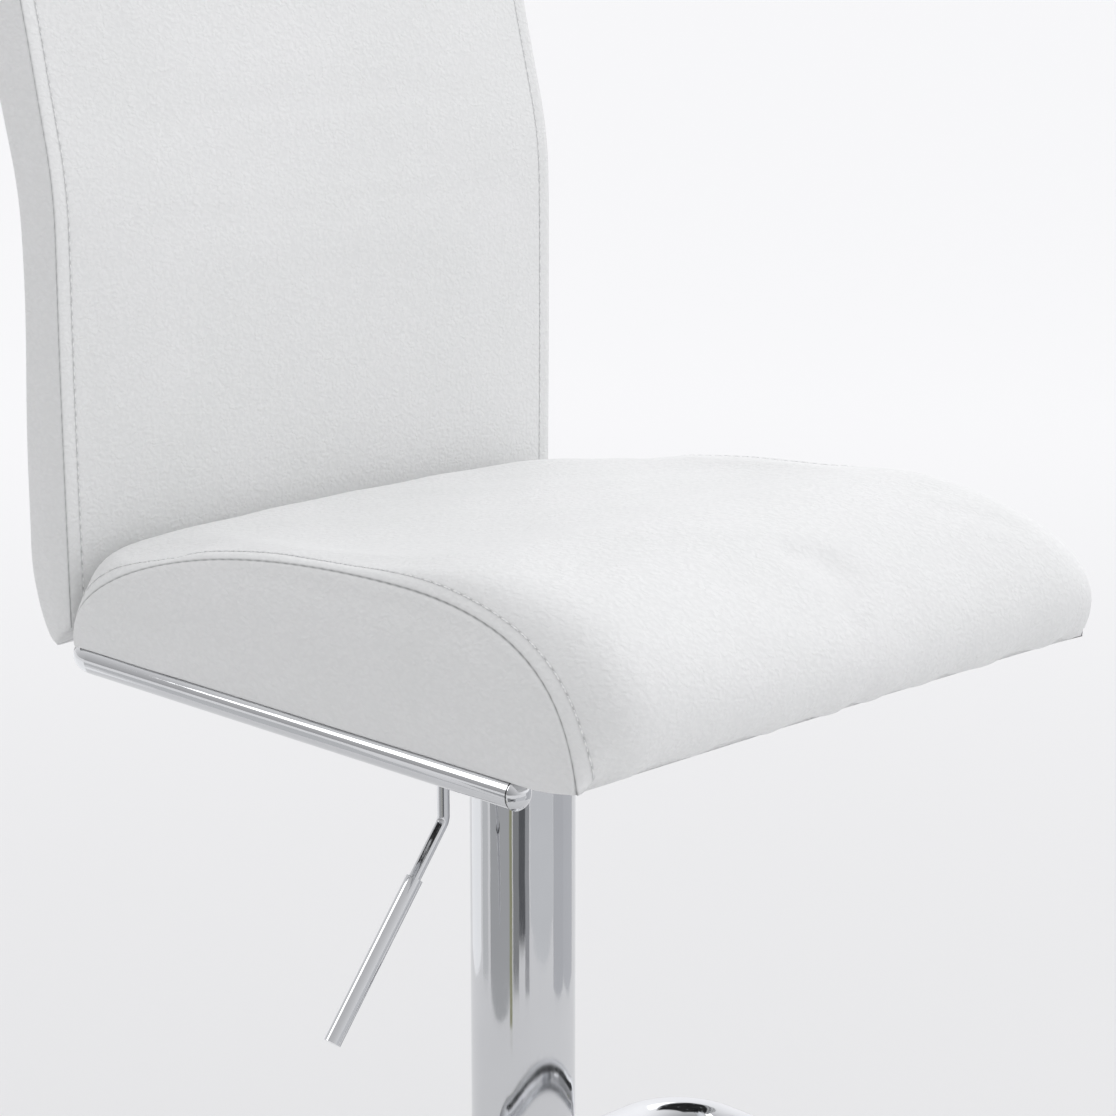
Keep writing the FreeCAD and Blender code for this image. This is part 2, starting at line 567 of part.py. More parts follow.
# ---------------------------------------------------------------- upholstery
def seat_cushion(pockets):
    """Wedge of foam and cover with a rolled front edge, open below for the board and over the tubes."""
    low = SHEET_Z - RAIL_Z
    bottom_front, bottom_rear = yz(-230, low), yz(146, low)
    rear_top = yz(142, 62)
    crown = spline([
        bottom_front, yz(-246, 22), yz(-249, 44), yz(-234, 70), yz(-198, 90),
        yz(-140, 97), yz(-60, 93), yz(40, 80), rear_top,
    ])
    rear = Part.Arc(rear_top, yz(156, 40), bottom_rear).toShape()
    under = Part.LineSegment(bottom_rear, bottom_front).toShape()
    face = Part.Face(Part.Wire([crown, rear, under]))
    cushion = prism_x(face, SEAT_X)
    grown_board = block(-BOARD_X - GAP, BOARD_X + GAP, BOARD_FRONT_Y - GAP, BOARD_REAR_Y + GAP,
                        BOARD_Z - 5, BOARD_Z + BOARD_T + GAP)
    cushion = cushion.cut(grown_board)
    for pocket in pockets:
        cushion = cushion.cut(pocket)
    cushion = cushion.cut(swept(rail_path(), RAIL_R + GAP))
    for x in (-RAIL_X, RAIL_X):
        front = V(x, RAIL_FRONT_Y + 1, RAIL_Z)
        cushion = cushion.cut(Part.makeCylinder(RAIL_R + 2 * GAP, 9, front, V(0, -1, 0)))
    save("seat_cushion", cushion)


def backrest(uprights_x, top_tube):
    """Curved plywood back panel and the padded sleeve round the backrest's frame."""
    front, front_low, front_top = back_line(-BACK_HALF_T)
    rear, rear_low, rear_top = back_line(BACK_HALF_T)
    lean = math.radians(BACK_LEAN)
    tip = (front_top + rear_top) * 0.5 + V(0, math.sin(lean), math.cos(lean)) * BACK_HALF_T
    cap = Part.Arc(front_top, tip, rear_top).toShape()
    hem_front, hem_rear = yz(BACK_Y - BACK_HALF_T, 12), yz(BACK_Y - 2, -2)
    hem = [
        Part.LineSegment(front_low, hem_front).toShape(),
        Part.LineSegment(hem_front, hem_rear).toShape(),
        Part.Arc(hem_rear, yz(BACK_Y + 12.5, 22), rear_low).toShape(),
    ]
    outline = Part.Wire(Part.__sortEdges__(front + rear + [cap] + hem))
    pad = prism_x(Part.Face(outline), BACK_X)

    near, near_low, near_top = back_line(RAIL_R + GAP)
    far, far_low, far_top = back_line(RAIL_R + GAP + 5)
    ends = [Part.LineSegment(near_low, far_low).toShape(), Part.LineSegment(near_top, far_top).toShape()]
    panel = prism_x(Part.Face(Part.Wire(Part.__sortEdges__(near + far + ends))), UPRIGHT_X + 20)

    # The pad's pocket for the panel starts 1 mm nearer, so that the bores of the uprights open into it.
    near, near_low, near_top = back_line(RAIL_R - 1)
    ends = [Part.LineSegment(near_low, far_low).toShape(), Part.LineSegment(near_top, far_top).toShape()]
    pocket = Part.Face(Part.Wire(Part.__sortEdges__(near + far + ends)))
    pad = pad.cut(prism_x(pocket, UPRIGHT_X + 20 + GAP))
    screws = []
    rear_y = BACK_Y + RAIL_R + GAP + 5
    for x in uprights_x:
        path, _ = upright_path(x)
        pad = pad.cut(swept(path, RAIL_R + GAP))
        for z in SCREW_HEIGHTS:
            spot = V(x, rear_y, RAIL_Z + z)
            head = Part.makeCylinder(4.0, 1.2, spot, V(0, 1, 0))
            shank = Part.makeCylinder(1.9, RAIL_R - 2, spot, V(0, -1, 0))
            screws.append(head.fuse(shank).removeSplitter())
            panel = panel.cut(Part.makeCylinder(1.95, 20, spot - V(0, 10, 0), V(0, 1, 0)))
            pad = pad.cut(Part.makeCylinder(4.3, 1.5, spot, V(0, 1, 0)))
    save("back_panel", panel)
    save("panel_screws", Part.makeCompound(screws))
    save("backrest_cushion", pad.cut(top_tube))


def main():
    base_parts()
    shoulder = stand_column_parts()
    footrest_parts()
    gas_rod_parts(shoulder)
    cylinder_parts()
    column_cover_parts()
    mechanism_parts()
    lever_parts()
    top_tube = frame_parts()
    pockets = board_and_fasteners()
    seat_cushion(pockets)
    backrest((-UPRIGHT_X, UPRIGHT_X), top_tube)


main()
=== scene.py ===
# %% [markdown]
# # A gas-lift swivel bar stool in white faux leather and chrome
#
# The CAD model already holds every hard piece at its true size: base, column, gas lift, tubes, lever and
# screws. Blender adds what CAD leaves plain. The two cushions become stitched leather covers over foam, the
# dust cover becomes a stretched cloth, and each surface gets a material made from what it really is.

# %% Load the CAD frame
import math
import bpy
import numpy as np
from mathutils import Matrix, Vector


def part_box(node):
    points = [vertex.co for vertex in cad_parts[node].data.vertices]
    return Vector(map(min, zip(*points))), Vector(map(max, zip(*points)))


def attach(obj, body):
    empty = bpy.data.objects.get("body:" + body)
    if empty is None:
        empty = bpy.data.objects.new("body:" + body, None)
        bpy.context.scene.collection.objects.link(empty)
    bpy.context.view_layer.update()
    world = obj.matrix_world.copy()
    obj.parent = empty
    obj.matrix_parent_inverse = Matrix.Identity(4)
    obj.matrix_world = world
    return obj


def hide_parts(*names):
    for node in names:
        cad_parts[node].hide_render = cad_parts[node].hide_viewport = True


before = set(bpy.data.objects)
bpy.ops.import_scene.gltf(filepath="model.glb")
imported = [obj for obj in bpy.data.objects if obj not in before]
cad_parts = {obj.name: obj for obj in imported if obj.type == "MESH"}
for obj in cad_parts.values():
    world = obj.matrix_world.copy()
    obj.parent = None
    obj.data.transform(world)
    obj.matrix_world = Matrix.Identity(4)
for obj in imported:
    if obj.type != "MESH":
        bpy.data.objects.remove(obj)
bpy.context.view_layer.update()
MM = 0.001
rail_z = sum(corner.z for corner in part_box("tube_cap_right")) / 2
print("nodes", len(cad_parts), "rail height", round(rail_z, 4))

# %% [markdown]
# ## Camera
#
# The stool is seen from the sitter's front right, 14 degrees above the seat, with a long lens that keeps the
# rails nearly parallel. The camera looks past the column, at the seat's front corner.

# %% Camera
turn, tilt = math.radians(-44.96), math.radians(13.97)
distance, aside, above = 1.771, 0.020, 0.0483
camera_data = bpy.data.cameras.new("camera")
camera_data.lens = 103.06
camera_data.sensor_width = 36.0
camera_data.clip_start, camera_data.clip_end = 0.1, 200.0
camera = bpy.data.objects.new("camera", camera_data)
bpy.context.scene.collection.objects.link(camera)
level = distance * math.cos(tilt)
camera.location = (level * math.sin(turn) + aside * math.cos(turn),
                   -level * math.cos(turn) + aside * math.sin(turn),
                   rail_z + above + distance * math.sin(tilt))
camera.rotation_euler = (math.pi / 2 - tilt, 0, turn)
bpy.context.scene.camera = camera
print("camera at", [round(value, 3) for value in camera.location])

# %% [markdown]
# ## Curves and grids
#
# Upholstery follows patterns: flat panels sewn edge to edge. So a cover is worked out from its seam lines. A
# few dimensions and curves give each line, and a smooth spline joins them. Every cover is then one grid of rings,
# so each point knows how far it lies from the nearest seam, and that places grooves, stitches and grain.

# %% A smooth line through points
def smooth_line(points, count):
    """Natural cubic spline through the points by chord length, sampled at count equal steps of arc length.

    The second derivatives m solve h0*m0 + 2*(h0+h1)*m1 + h1*m2 = 6*(slope1 - slope0), with m = 0 at both ends.
    """
    p = np.array(points, float)
    knots = np.concatenate([[0], np.cumsum(np.linalg.norm(np.diff(p, axis=0), axis=1))])
    h = np.diff(knots)
    slope = np.diff(p, axis=0) / h[:, None]
    inner = np.diag(2 * (h[:-1] + h[1:])) + np.diag(h[1:-1], 1) + np.diag(h[1:-1], -1)
    m = np.zeros_like(p)
    m[1:-1] = np.linalg.solve(inner, 6 * np.diff(slope, axis=0))

    def at(s):
        k = np.clip(np.searchsorted(knots, s, side="right") - 1, 0, len(h) - 1)
        a, b, w = (knots[k + 1] - s)[:, None], (s - knots[k])[:, None], h[k][:, None]
        bend = m[k] * (a ** 3 / w - w * a) / 6 + m[k + 1] * (b ** 3 / w - w * b) / 6
        return bend + p[k] * a / w + p[k + 1] * b / w

    fine = at(np.linspace(0, knots[-1], 2000))
    return resample(fine, count)


def resample(line, count):
    """The same polyline with count points at equal steps of arc length."""
    along = np.concatenate([[0], np.cumsum(np.linalg.norm(np.diff(line, axis=0), axis=1))])
    steps = np.linspace(0, along[-1], count)
    return np.stack([np.interp(steps, along, line[:, k]) for k in range(line.shape[1])], axis=1)


def length_of(line):
    """Sum of the distances between neighbouring points."""
    return float(np.linalg.norm(np.diff(line, axis=0), axis=1).sum())


# %% A closed shell made of rings
def ring_mesh(name, grid):
    """Mesh of a (stations, ring, 3) grid in metres: quads between rings, and each end ring closed.

    An end ring is closed by joining opposite points, so its strip of quads lies across the piece's edge.
    """
    stations, ring = grid.shape[:2]
    index = np.arange(stations * ring).reshape(stations, ring)
    after = np.roll(index, -1, axis=1)
    sides = np.stack([index[:-1], after[:-1], after[1:], index[1:]], axis=-1).reshape(-1, 4)
    half = ring // 2
    near, far = np.arange(half - 1), ring - 1 - np.arange(half - 1)
    first = np.stack([index[0][near], index[0][far], index[0][far - 1], index[0][near + 1]], axis=-1)
    last = np.stack([index[-1][near], index[-1][near + 1], index[-1][far - 1], index[-1][far]], axis=-1)
    faces = np.concatenate([sides, first, last])
    points = grid.reshape(-1, 3)
    a, b, c, d = (points[faces[:, k]] for k in range(4))
    volume = np.einsum("ij,ij->", a, np.cross(b, c)) + np.einsum("ij,ij->", a, np.cross(c, d))
    if volume < 0:
        faces = faces[:, ::-1]
    mesh = bpy.data.meshes.new(name)
    mesh.from_pydata(points.tolist(), [], faces.tolist())
    mesh.polygons.foreach_set("use_smooth", np.ones(len(mesh.polygons), bool))
    piece = bpy.data.objects.new(name, mesh)
    bpy.context.scene.collection.objects.link(piece)
    return piece


def ring_normals(grid):
    """Outward unit normals of a ring grid, from the cross product of its two directions."""
    along = np.gradient(grid, axis=0)
    around = (np.roll(grid, -1, axis=1) - np.roll(grid, 1, axis=1)) / 2
    normal = np.cross(along, around)
    normal /= np.maximum(np.linalg.norm(normal, axis=2, keepdims=True), 1e-12)
    outward = grid - grid.mean(axis=1, keepdims=True)
    return normal * np.sign(np.einsum("urk,urk->", normal, outward))


# %% [markdown]
# ## Seat cover
#
# The seat is a foam wedge on a plywood board, in a cover of three panels. One long panel runs from the rear,
# over the top and down the front. Two side panels close it. The seam between them is the line that the eye
# follows. It could be sculpted, but two seam lines and a crown between them say the same thing in a few
# numbers: `side_seam` is the sewn edge, and `middle_line` is the same panel halfway across, where foam
# pushes it up and forward. Lengths here are in millimetres, and heights count up from the rails.

# %% A quarter of a superellipse
def quarter(centre, run, rise, power, count):
    """Points from the side to the top: centre + (run * cos(a)^(2/p), rise * sin(a)^(2/p)), a up to 90 degrees."""
    a = np.linspace(0, np.pi / 2, count)
    return np.stack([centre[0] + run * np.cos(a) ** (2 / power),
                     centre[1] + rise * np.sin(a) ** (2 / power)], axis=1)


# %% The seat's two lines
seam_crest, seam_rear, seam_nose = (-100, 86), (149, 8.5), (-238, 11.5)
seam_behind = quarter((seam_crest[0], seam_rear[1]), seam_rear[0] - seam_crest[0],
                      seam_crest[1] - seam_rear[1], 2.1, 24)
seam_ahead = quarter((seam_crest[0], seam_nose[1]), seam_nose[0] - seam_crest[0],
                     seam_crest[1] - seam_nose[1], 2.3, 24)
side_seam = np.concatenate([seam_behind, seam_ahead[-2::-1]])
crest, nose, front_hem = (-150, 97), (-260, 44), (-240, 15)
rear_hem, rear_top, corner = (152, 9), (138, 61), (22, 24)
middle_line = np.concatenate([
    [rear_hem],
    quarter((rear_top[0], rear_top[1] - corner[1]), corner[0], corner[1], 2.3, 5)[:-1],
    [(110, 65), (60, 70), (-20, 77), (-90, 87)],
    quarter((crest[0], nose[1]), nose[0] - crest[0], crest[1] - nose[1], 2.2, 8)[::-1],
    quarter((front_hem[0], nose[1]), nose[0] - front_hem[0], front_hem[1] - nose[1], 1.65, 5)[1:]])
stitch_pitch = 7.0
seat_stations = 2 * round(length_of(smooth_line(side_seam, 400)) / stitch_pitch) + 1
print("seat seam", round(length_of(smooth_line(side_seam, 400))), "mm,", seat_stations, "stations")


# %% Spacing across a panel
def panel_steps(half_width, fine=True):
    """Places across a panel as a share of its half width, from -1 to 1.

    They crowd together at the seam and at the topstitch 9 mm inside it, and spread out in the middle.
    """
    if fine:
        edge = np.array([0, 0.7, 1.4, 2.4, 3.6, 5, 6.6, 7.7, 8.4, 9, 9.6, 10.3, 11.5, 13.2, 15.5, 18.5, 22, 26])
    else:
        edge = np.array([0, 8.0, 17.0, 26.0])
    middle = np.arange(26 + 5, half_width, 5 if fine else 9)
    inner = np.concatenate([edge, middle])
    inner = inner * half_width / (inner[-1] + (2.5 if fine else 4.5))
    right = 1 - inner / half_width
    return np.concatenate([-right, right[::-1]])


def boxing_steps(fine=True):
    """Places down a side panel, from just below one seam to just above the other."""
    if fine:
        edge = np.array([0.012, 0.026, 0.05, 0.085])
        return np.concatenate([edge, np.linspace(0.13, 0.87, 18), 1 - edge[::-1]])
    return np.linspace(0.1, 0.9, 8)


# %% The seat as rings
def seat_rings(count, fine=True):
    """Ring grid of the seat cover in mm, and the places across its panels.

    Top panel: seam + (middle - seam) * (1 - |t|^p), where t runs from -1 to 1 across the seat. The foam's edge
    lifts it by a roll s * e^(1 - s), with s the distance from the seam over 12 mm, and it has sagged on one side.
    Side panel: from the seam to the hem, with x bulging by a half sine wave and leaning in near the top.
    Underside: flat, but lifted over each rail by the rail's own radius, and turned up at the front.
    """
    seam, middle = smooth_line(side_seam, count), smooth_line(middle_line, count)
    travel = np.concatenate([[0], np.cumsum(np.abs(np.diff(seam[:, 0])))])
    share = travel / travel[-1]
    hem_y = 148.2 - (148.2 + 234.2) * share
    hem_z = 6.6 + 4.1 * np.clip((-200 - hem_y) / 34, 0, 1) ** 2
    t = panel_steps(197, fine)
    v = boxing_steps(fine)
    power = (11 + 7 * np.linspace(0, 1, count))[:, None]
    rise = 1 - np.abs(t)[None] ** power
    inward = 197 * (1 - np.abs(t))[None] / 12
    edge_roll = 4.2 * inward * np.exp(1 - inward) * np.exp(-((seam[:, :1] + 20) / 120) ** 4)
    sag = -4.5 * (1 + t)[None] / 2 * np.clip((seam[:, 1:] - 10) / 50, 0, 1)

    def side_x(z):
        return 196.0 + 3 * np.sin(np.pi * np.clip(z / 75, 0, 1)) - 9 * np.clip((z - 30) / 60, 0, 1) ** 1.5

    seam_x = side_x(seam[:, 1])
    top = np.stack([t[None] * seam_x[:, None],
                    seam[:, :1] + (middle - seam)[:, :1] * rise,
                    seam[:, 1:] + (middle - seam)[:, 1:] * rise + edge_roll + sag], axis=-1)
    hem = np.stack([hem_y, hem_z], axis=-1)
    panel = seam[:, None] * (1 - v)[None, :, None] + hem[:, None] * v[None, :, None]
    puff = 2.5 * np.sin(np.pi * v)[None] * np.clip((seam[:, 1] - hem_z) / 60, 0, 1)[:, None]
    right = np.concatenate([(side_x(panel[..., 1]) + puff)[..., None], panel], axis=-1)
    left = right[:, ::-1] * np.array([-1, 1, 1])
    right[..., 2] += sag[:, -1:] * (1 - v)[None]
    ends = np.clip(1 - share / 0.06, 0, 1) ** 2, np.clip(1 - (1 - share) / 0.10, 0, 1) ** 2
    reach = ends[0] * (middle[0, 0] - seam[0, 0]) + ends[1] * (middle[-1, 0] - seam[-1, 0])
    under_x = -t[None] * np.full(count, 196.0)[:, None]
    under_y = hem_y[:, None] + reach[:, None] * rise[:, ::-1]
    over_rail = np.sqrt(np.clip(8.4 ** 2 - (np.abs(under_x) - 191) ** 2, 0, None))
    over_rail = over_rail * (under_y > -203)
    edge_lift = (hem_z - 7.6)[:, None] * np.abs(t[None]) ** 40
    turned_up = 6.0 * np.clip((-212 - under_y) / 26, 0, 1) ** 1.4 * (1 - np.abs(t[None]) ** 20)
    under_z = np.maximum(7.6 + edge_lift + turned_up, over_rail)
    under = np.stack([under_x, under_y, under_z], axis=-1)
    return np.concatenate([top, right, under, left], axis=1), t, v


seat_grid, seat_t, seat_v = seat_rings(seat_stations)
print("seat rings", seat_grid.shape, "box", seat_grid.min((0, 1)).round(), seat_grid.max((0, 1)).round())


# %% [markdown]
# ## Filling the covers
#
# Foam pushes a cover outwards between its seams, and leather answers with soft, uneven swells. Blender's cloth
# solver can blow the cover up a little, with the seams and the stapled hem held still. A coarse copy of the
# rings is enough: only its movement is kept, and is then spread over the finer rings, which keep their seams.

# %% Cloth pressure on a coarse copy
def filled(name, grid, held_columns, pressure, cap):
    """How far each point of a coarse ring grid moves in mm when the cover fills, at most cap."""
    piece = ring_mesh(name, grid * MM)
    stations, ring = grid.shape[:2]
    held = np.zeros((stations, ring), bool)
    held[:, held_columns] = True
    held[[0, -1]] = True
    group = piece.vertex_groups.new(name="held")
    group.add(np.flatnonzero(held).tolist(), 1.0, "REPLACE")
    cloth = piece.modifiers.new("filling", "CLOTH")
    settings = cloth.settings
    settings.quality = 6
    settings.mass = 0.4
    settings.tension_stiffness = settings.compression_stiffness = 25
    settings.shear_stiffness = 8
    settings.bending_stiffness = 3
    settings.use_pressure = True
    settings.uniform_pressure_force = pressure
    settings.vertex_group_mass = "held"
    settings.effector_weights.gravity = 0
    cloth.point_cache.frame_start, cloth.point_cache.frame_end = 1, 20
    scene = bpy.context.scene
    for step in range(1, 21):
        scene.frame_set(step)
    shown = piece.evaluated_get(bpy.context.evaluated_depsgraph_get())
    after = np.empty(stations * ring * 3)
    shown.data.vertices.foreach_get("co", after)
    move = after.reshape(stations, ring, 3) / MM - grid
    bpy.data.objects.remove(piece)
    scene.frame_set(1)
    size = np.linalg.norm(move, axis=2, keepdims=True)
    print(name, "moved at most", round(float(size.max()), 1), "mm")
    return move * np.minimum(1, cap / np.maximum(size, 1e-9)) * np.minimum(size, 1)


def spread(move, coarse, fine, stations):
    """Carries a coarse grid's move to the fine grid, first along the stations and then across each panel.

    coarse and fine are (t, v): the places across a panel and down a side, which both grids share.
    """
    old, new = np.linspace(0, 1, len(move)), np.linspace(0, 1, stations)
    k = np.clip(np.searchsorted(old, new, side="right") - 1, 0, len(old) - 2)
    w = ((new - old[k]) / (old[k + 1] - old[k]))[:, None, None]
    rows = move[k] * (1 - w) + move[k + 1] * w

    def across(part, here, there):
        j = np.clip(np.searchsorted(here, there, side="right") - 1, 0, len(here) - 2)
        a = ((there - here[j]) / (here[j + 1] - here[j])).clip(0, 1)[None, :, None]
        return part[:, j] * (1 - a) + part[:, j + 1] * a

    (t0, v0), (t1, v1) = coarse, fine
    nt, nv = len(t0), len(v0)
    first, right = rows[:, :nt], rows[:, nt:nt + nv]
    second, left = rows[:, nt + nv:2 * nt + nv], rows[:, 2 * nt + nv:]
    side = np.concatenate([[0], v0, [1]])
    right = np.concatenate([first[:, -1:], right, second[:, :1]], axis=1)
    left = np.concatenate([second[:, -1:], left, first[:, :1]], axis=1)
    return np.concatenate([across(first, t0, t1), across(right, side, v1),
                           across(second, t0, t1), across(left, side, v1)], axis=1)


# %% Seams, topstitches and puckers
stitch_inset = 9.0


def seam_distance(grid, nt, nv):
    """Distance along the surface in mm from each point to the first panel's seams and to the second's.

    It is the running length round each ring, less that length at the seam, on whichever side is nearer.
    """
    step = np.linalg.norm(np.roll(grid, -1, axis=1) - grid, axis=2)
    along = np.concatenate([np.zeros((len(grid), 1)), np.cumsum(step, axis=1)], axis=1)
    total, along = along[:, -1:], along[:, :-1]
    second, last = nt + nv, 2 * nt + nv - 1
    near = np.minimum(np.abs(along - along[:, nt - 1:nt]), np.minimum(along, total - along))
    other = np.minimum(np.abs(along - along[:, second:second + 1]), np.abs(along - along[:, last:last + 1]))
    panel = np.zeros(along.shape)
    panel[:, nt:second], panel[:, second:last + 1], panel[:, last + 1:] = 1, 2, 3
    return near, other, panel


def sewn_relief(near, panel, stations):
    """Height in mm that sewing adds: a crease at the seam, a roll beside it, and a stitched groove 9 mm in.

    crease = -0.7 * e^(-(d/0.55)^2), roll = 0.35 * e^(-((d-3.6)/2.4)^2), groove = -0.22 * e^(-((d-9)/1.0)^2).
    A needle hole at every second station deepens the groove, and puckers fade out over a few millimetres.
    """
    hole = (np.arange(stations) % 2 == 0)[:, None] * 1.0
    crease = -0.7 * np.exp(-(near / 0.55) ** 2) * (0.8 + 0.2 * hole)
    roll = 0.35 * np.exp(-((near - 3.6) / 2.4) ** 2)
    groove = -0.22 * np.exp(-((near - stitch_inset) / 1.0) ** 2) * (0.6 + 0.8 * hole) * (panel == 0)
    pucker = 0.06 * (1 - 2 * hole) * np.exp(-np.abs(near - stitch_inset) / 3.5) * (panel == 0)
    return crease + roll + groove + pucker


def soft_unevenness(grid, size, wavelength, phase):
    """Slow swells: the product of sine waves along x, y and z of one wavelength, in mm."""
    k = 2 * np.pi / wavelength
    x, y, z = grid[..., 0], grid[..., 1], grid[..., 2]
    return size * np.sin(k * x + phase) * np.sin(k * 0.83 * y + 1.7 * phase) * np.cos(k * 0.71 * z + 0.6 * phase)


# %% Put a cover together
def sewn_cover(name, grid, relief, shade, body, node):
    moved = grid + ring_normals(grid) * relief[..., None]
    placed = (moved + np.array([0, 0, rail_z / MM])) * MM
    piece = ring_mesh(name, placed)
    # The crease attribute holds painted shade: a dark line along each seam and dark needle holes, which the leather
    # mixes into its colour.
    painted_seam_shade = piece.data.attributes.new("crease", "FLOAT", "POINT")
    painted_seam_shade.data.foreach_set("value", shade.astype(np.float32).ravel())
    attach(piece, body)
    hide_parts(node)
    print(name, len(piece.data.polygons), "faces")
    return piece, placed


def crease_shade(near, panel, stations):
    """Painted shade from 0 to 1: a shadow line painted along the seam's crease, and painted shade in the needle holes
    of the topstitch.
    """
    hole = (np.arange(stations) % 2 == 0)[:, None] * 1.0
    line = np.exp(-(near / 0.5) ** 2) * (0.50 + 0.25 * hole)
    needle_hole_shade = 0.48 * np.exp(-((near - stitch_inset) / 0.6) ** 2) * hole * (panel == 0)
    return np.clip(line + needle_hole_shade, 0, 1)


# %% Space a panel by its sewn length
def spaced_by_length(grid, t, half_width):
    """The top panel's points moved along their ring, so that the ones near a seam stand at their sewn distance.

    A point meant to be d from its seam goes to the running length d up to 26 mm, and beyond that the rest of
    the length is shared out in proportion.
    """
    meant = (1 - np.abs(t)) * half_width
    placed = grid.copy()
    for ring, source in zip(placed, grid[:, :len(t)]):
        along = np.concatenate([[0], np.cumsum(np.linalg.norm(np.diff(source, axis=0), axis=1))])
        share = (along[-1] / 2 - 26) / (half_width - 26)
        inside = np.where(meant <= 26, meant, 26 + (meant - 26) * share)
        goal = np.where(t < 0, inside, along[-1] - inside)
        ring[:len(t)] = np.stack([np.interp(goal, along, source[:, axis]) for axis in range(3)], axis=1)
    return placed


# %% Fill and sew the seat
nt, nv = len(seat_t), len(seat_v)
seat_soft = np.zeros_like(seat_grid)
coarse_grid, coarse_t, coarse_v = seat_rings(64, fine=False)
ct, cv = len(coarse_t), len(coarse_v)
held = [0, ct - 1] + list(range(ct + cv, 2 * ct + cv))
seat_move = filled("seat_filling", coarse_grid, held, 3.0, 5.0)
seat_soft = spread(seat_move, (coarse_t, coarse_v), (seat_t, seat_v), seat_stations)
seat_shape = spaced_by_length(seat_grid + seat_soft, seat_t, 197.0)
near, other, panel = seam_distance(seat_shape, nt, nv)
upper = panel != 2
gather = np.exp(-np.clip(seat_shape[..., 2] - 8, 0, None) / 15) * (seat_shape[..., 1] < -215) * (panel == 0)
seat_relief = sewn_relief(near, panel, seat_stations) * upper
seat_relief += soft_unevenness(seat_shape, 0.45, 130, 0.8) * upper * np.clip(near / 20, 0, 1)
seat_relief += soft_unevenness(seat_shape, 0.25, 62, 2.1) * upper * np.clip(near / 20, 0, 1)
seat_relief += 1.7 * gather * np.sin(seat_shape[..., 0] * 2 * np.pi / 43 + 1.4 * np.sin(seat_shape[..., 0] / 31))
seat_relief += 0.6 * gather * np.sin(seat_shape[..., 0] * 2 * np.pi / 25 + 0.8)
seat_cover, seat_points = sewn_cover("seat_cover", seat_shape, seat_relief,
                                     crease_shade(near, panel, seat_stations), "seat", "seat_cushion")

# %% [markdown]
# ## Backrest cover
#
# The backrest is a padded sleeve over a tube frame and a bent plywood panel. It stands upright behind the
# seat and leans back above the bend. At the bottom it curls forward behind the rear tube, where it is
# fastened out of sight. It is the same ring grid again: a front line and a rear line in side view, with
# crowned panels between their seams and a narrow boxing at each side.

# %% The backrest's two lines
back_y, back_half, straight_top, bend_radius, top_run = 183.5, 17.0, 228.0, 190.0, 164.0
lean = math.radians(15)


def back_path(offset):
    """The bend and the leaning part in side view, that far behind the backrest's centre line."""
    a = np.linspace(0, lean, 8)
    radius = bend_radius - offset
    bend = np.stack([back_y + bend_radius - radius * np.cos(a), straight_top + radius * np.sin(a)], axis=1)
    return np.concatenate([bend, [bend[-1] + top_run * np.array([math.sin(lean), math.cos(lean)])]])


def back_cap(side):
    """Most of a quarter circle, from the front face (-1) or the rear face (1) up to the top."""
    a = np.radians(np.linspace(0, 88, 8)[1:])
    across, along = side * back_half * np.cos(a), back_half * np.sin(a)
    end = back_path(0)[-1]
    return np.stack([end[0] + across * math.cos(lean) + along * math.sin(lean),
                     end[1] - across * math.sin(lean) + along * math.cos(lean)], axis=1)


upright = np.array([60, 115, 170])
front_line = np.concatenate([
    [(back_y - back_half, z) for z in (12, *upright)], back_path(-back_half), back_cap(-1)])
rear_line = np.concatenate([
    quarter((181, 50), 20, -51, 1.65, 7)[:0:-1],
    [(back_y + back_half, z) for z in upright], back_path(back_half), back_cap(1)])
back_stations = 2 * round(length_of(smooth_line(front_line, 400)) / stitch_pitch) + 1


def back_rings(count, fine=True):
    """Ring grid of the backrest in mm: front panel, right boxing, rear panel, left boxing.

    Front and rear panels crown outwards by c * (1 - t^4), and each boxing bulges by a half sine wave.
    """
    front, rear = smooth_line(front_line, count), smooth_line(rear_line, count)
    rear[:, 0] -= 3.5 * np.exp(-((rear[:, 1] - 190) / 70) ** 2)
    u = np.linspace(0, 1, count)
    fade = (np.clip(u / 0.05, 0, 1) * np.clip((1 - u) / 0.06, 0, 1))[:, None]
    half = 185.6 + 1.4 * np.sin(np.pi * np.clip(front[:, 1] / 330, 0, 1)) - 3 * np.clip((u - 0.955) / 0.045, 0, 1) ** 2
    t = panel_steps(186, fine)
    v = boxing_steps(fine)
    crown = (1 - np.abs(t) ** 4)[None] * fade
    face = np.stack([t[None] * half[:, None], front[:, :1] - 3.4 * crown, front[:, 1:] + 0 * crown], axis=-1)
    back = np.stack([-t[None] * half[:, None], rear[:, :1] + 3.0 * crown, rear[:, 1:] + 0 * crown], axis=-1)
    boxing = front[:, None] * (1 - v)[None, :, None] + rear[:, None] * v[None, :, None]
    gap = np.linalg.norm(front - rear, axis=1)
    bulge = 1.8 * np.sin(np.pi * v)[None] * np.clip(gap / 25, 0, 1)[:, None]
    right = np.concatenate([(half[:, None] + bulge)[..., None], boxing], axis=-1)
    left = right[:, ::-1] * np.array([-1, 1, 1])
    return np.concatenate([face, right, back, left], axis=1), t, v


back_grid, back_t, back_v = back_rings(back_stations)
print("backrest rings", back_grid.shape)

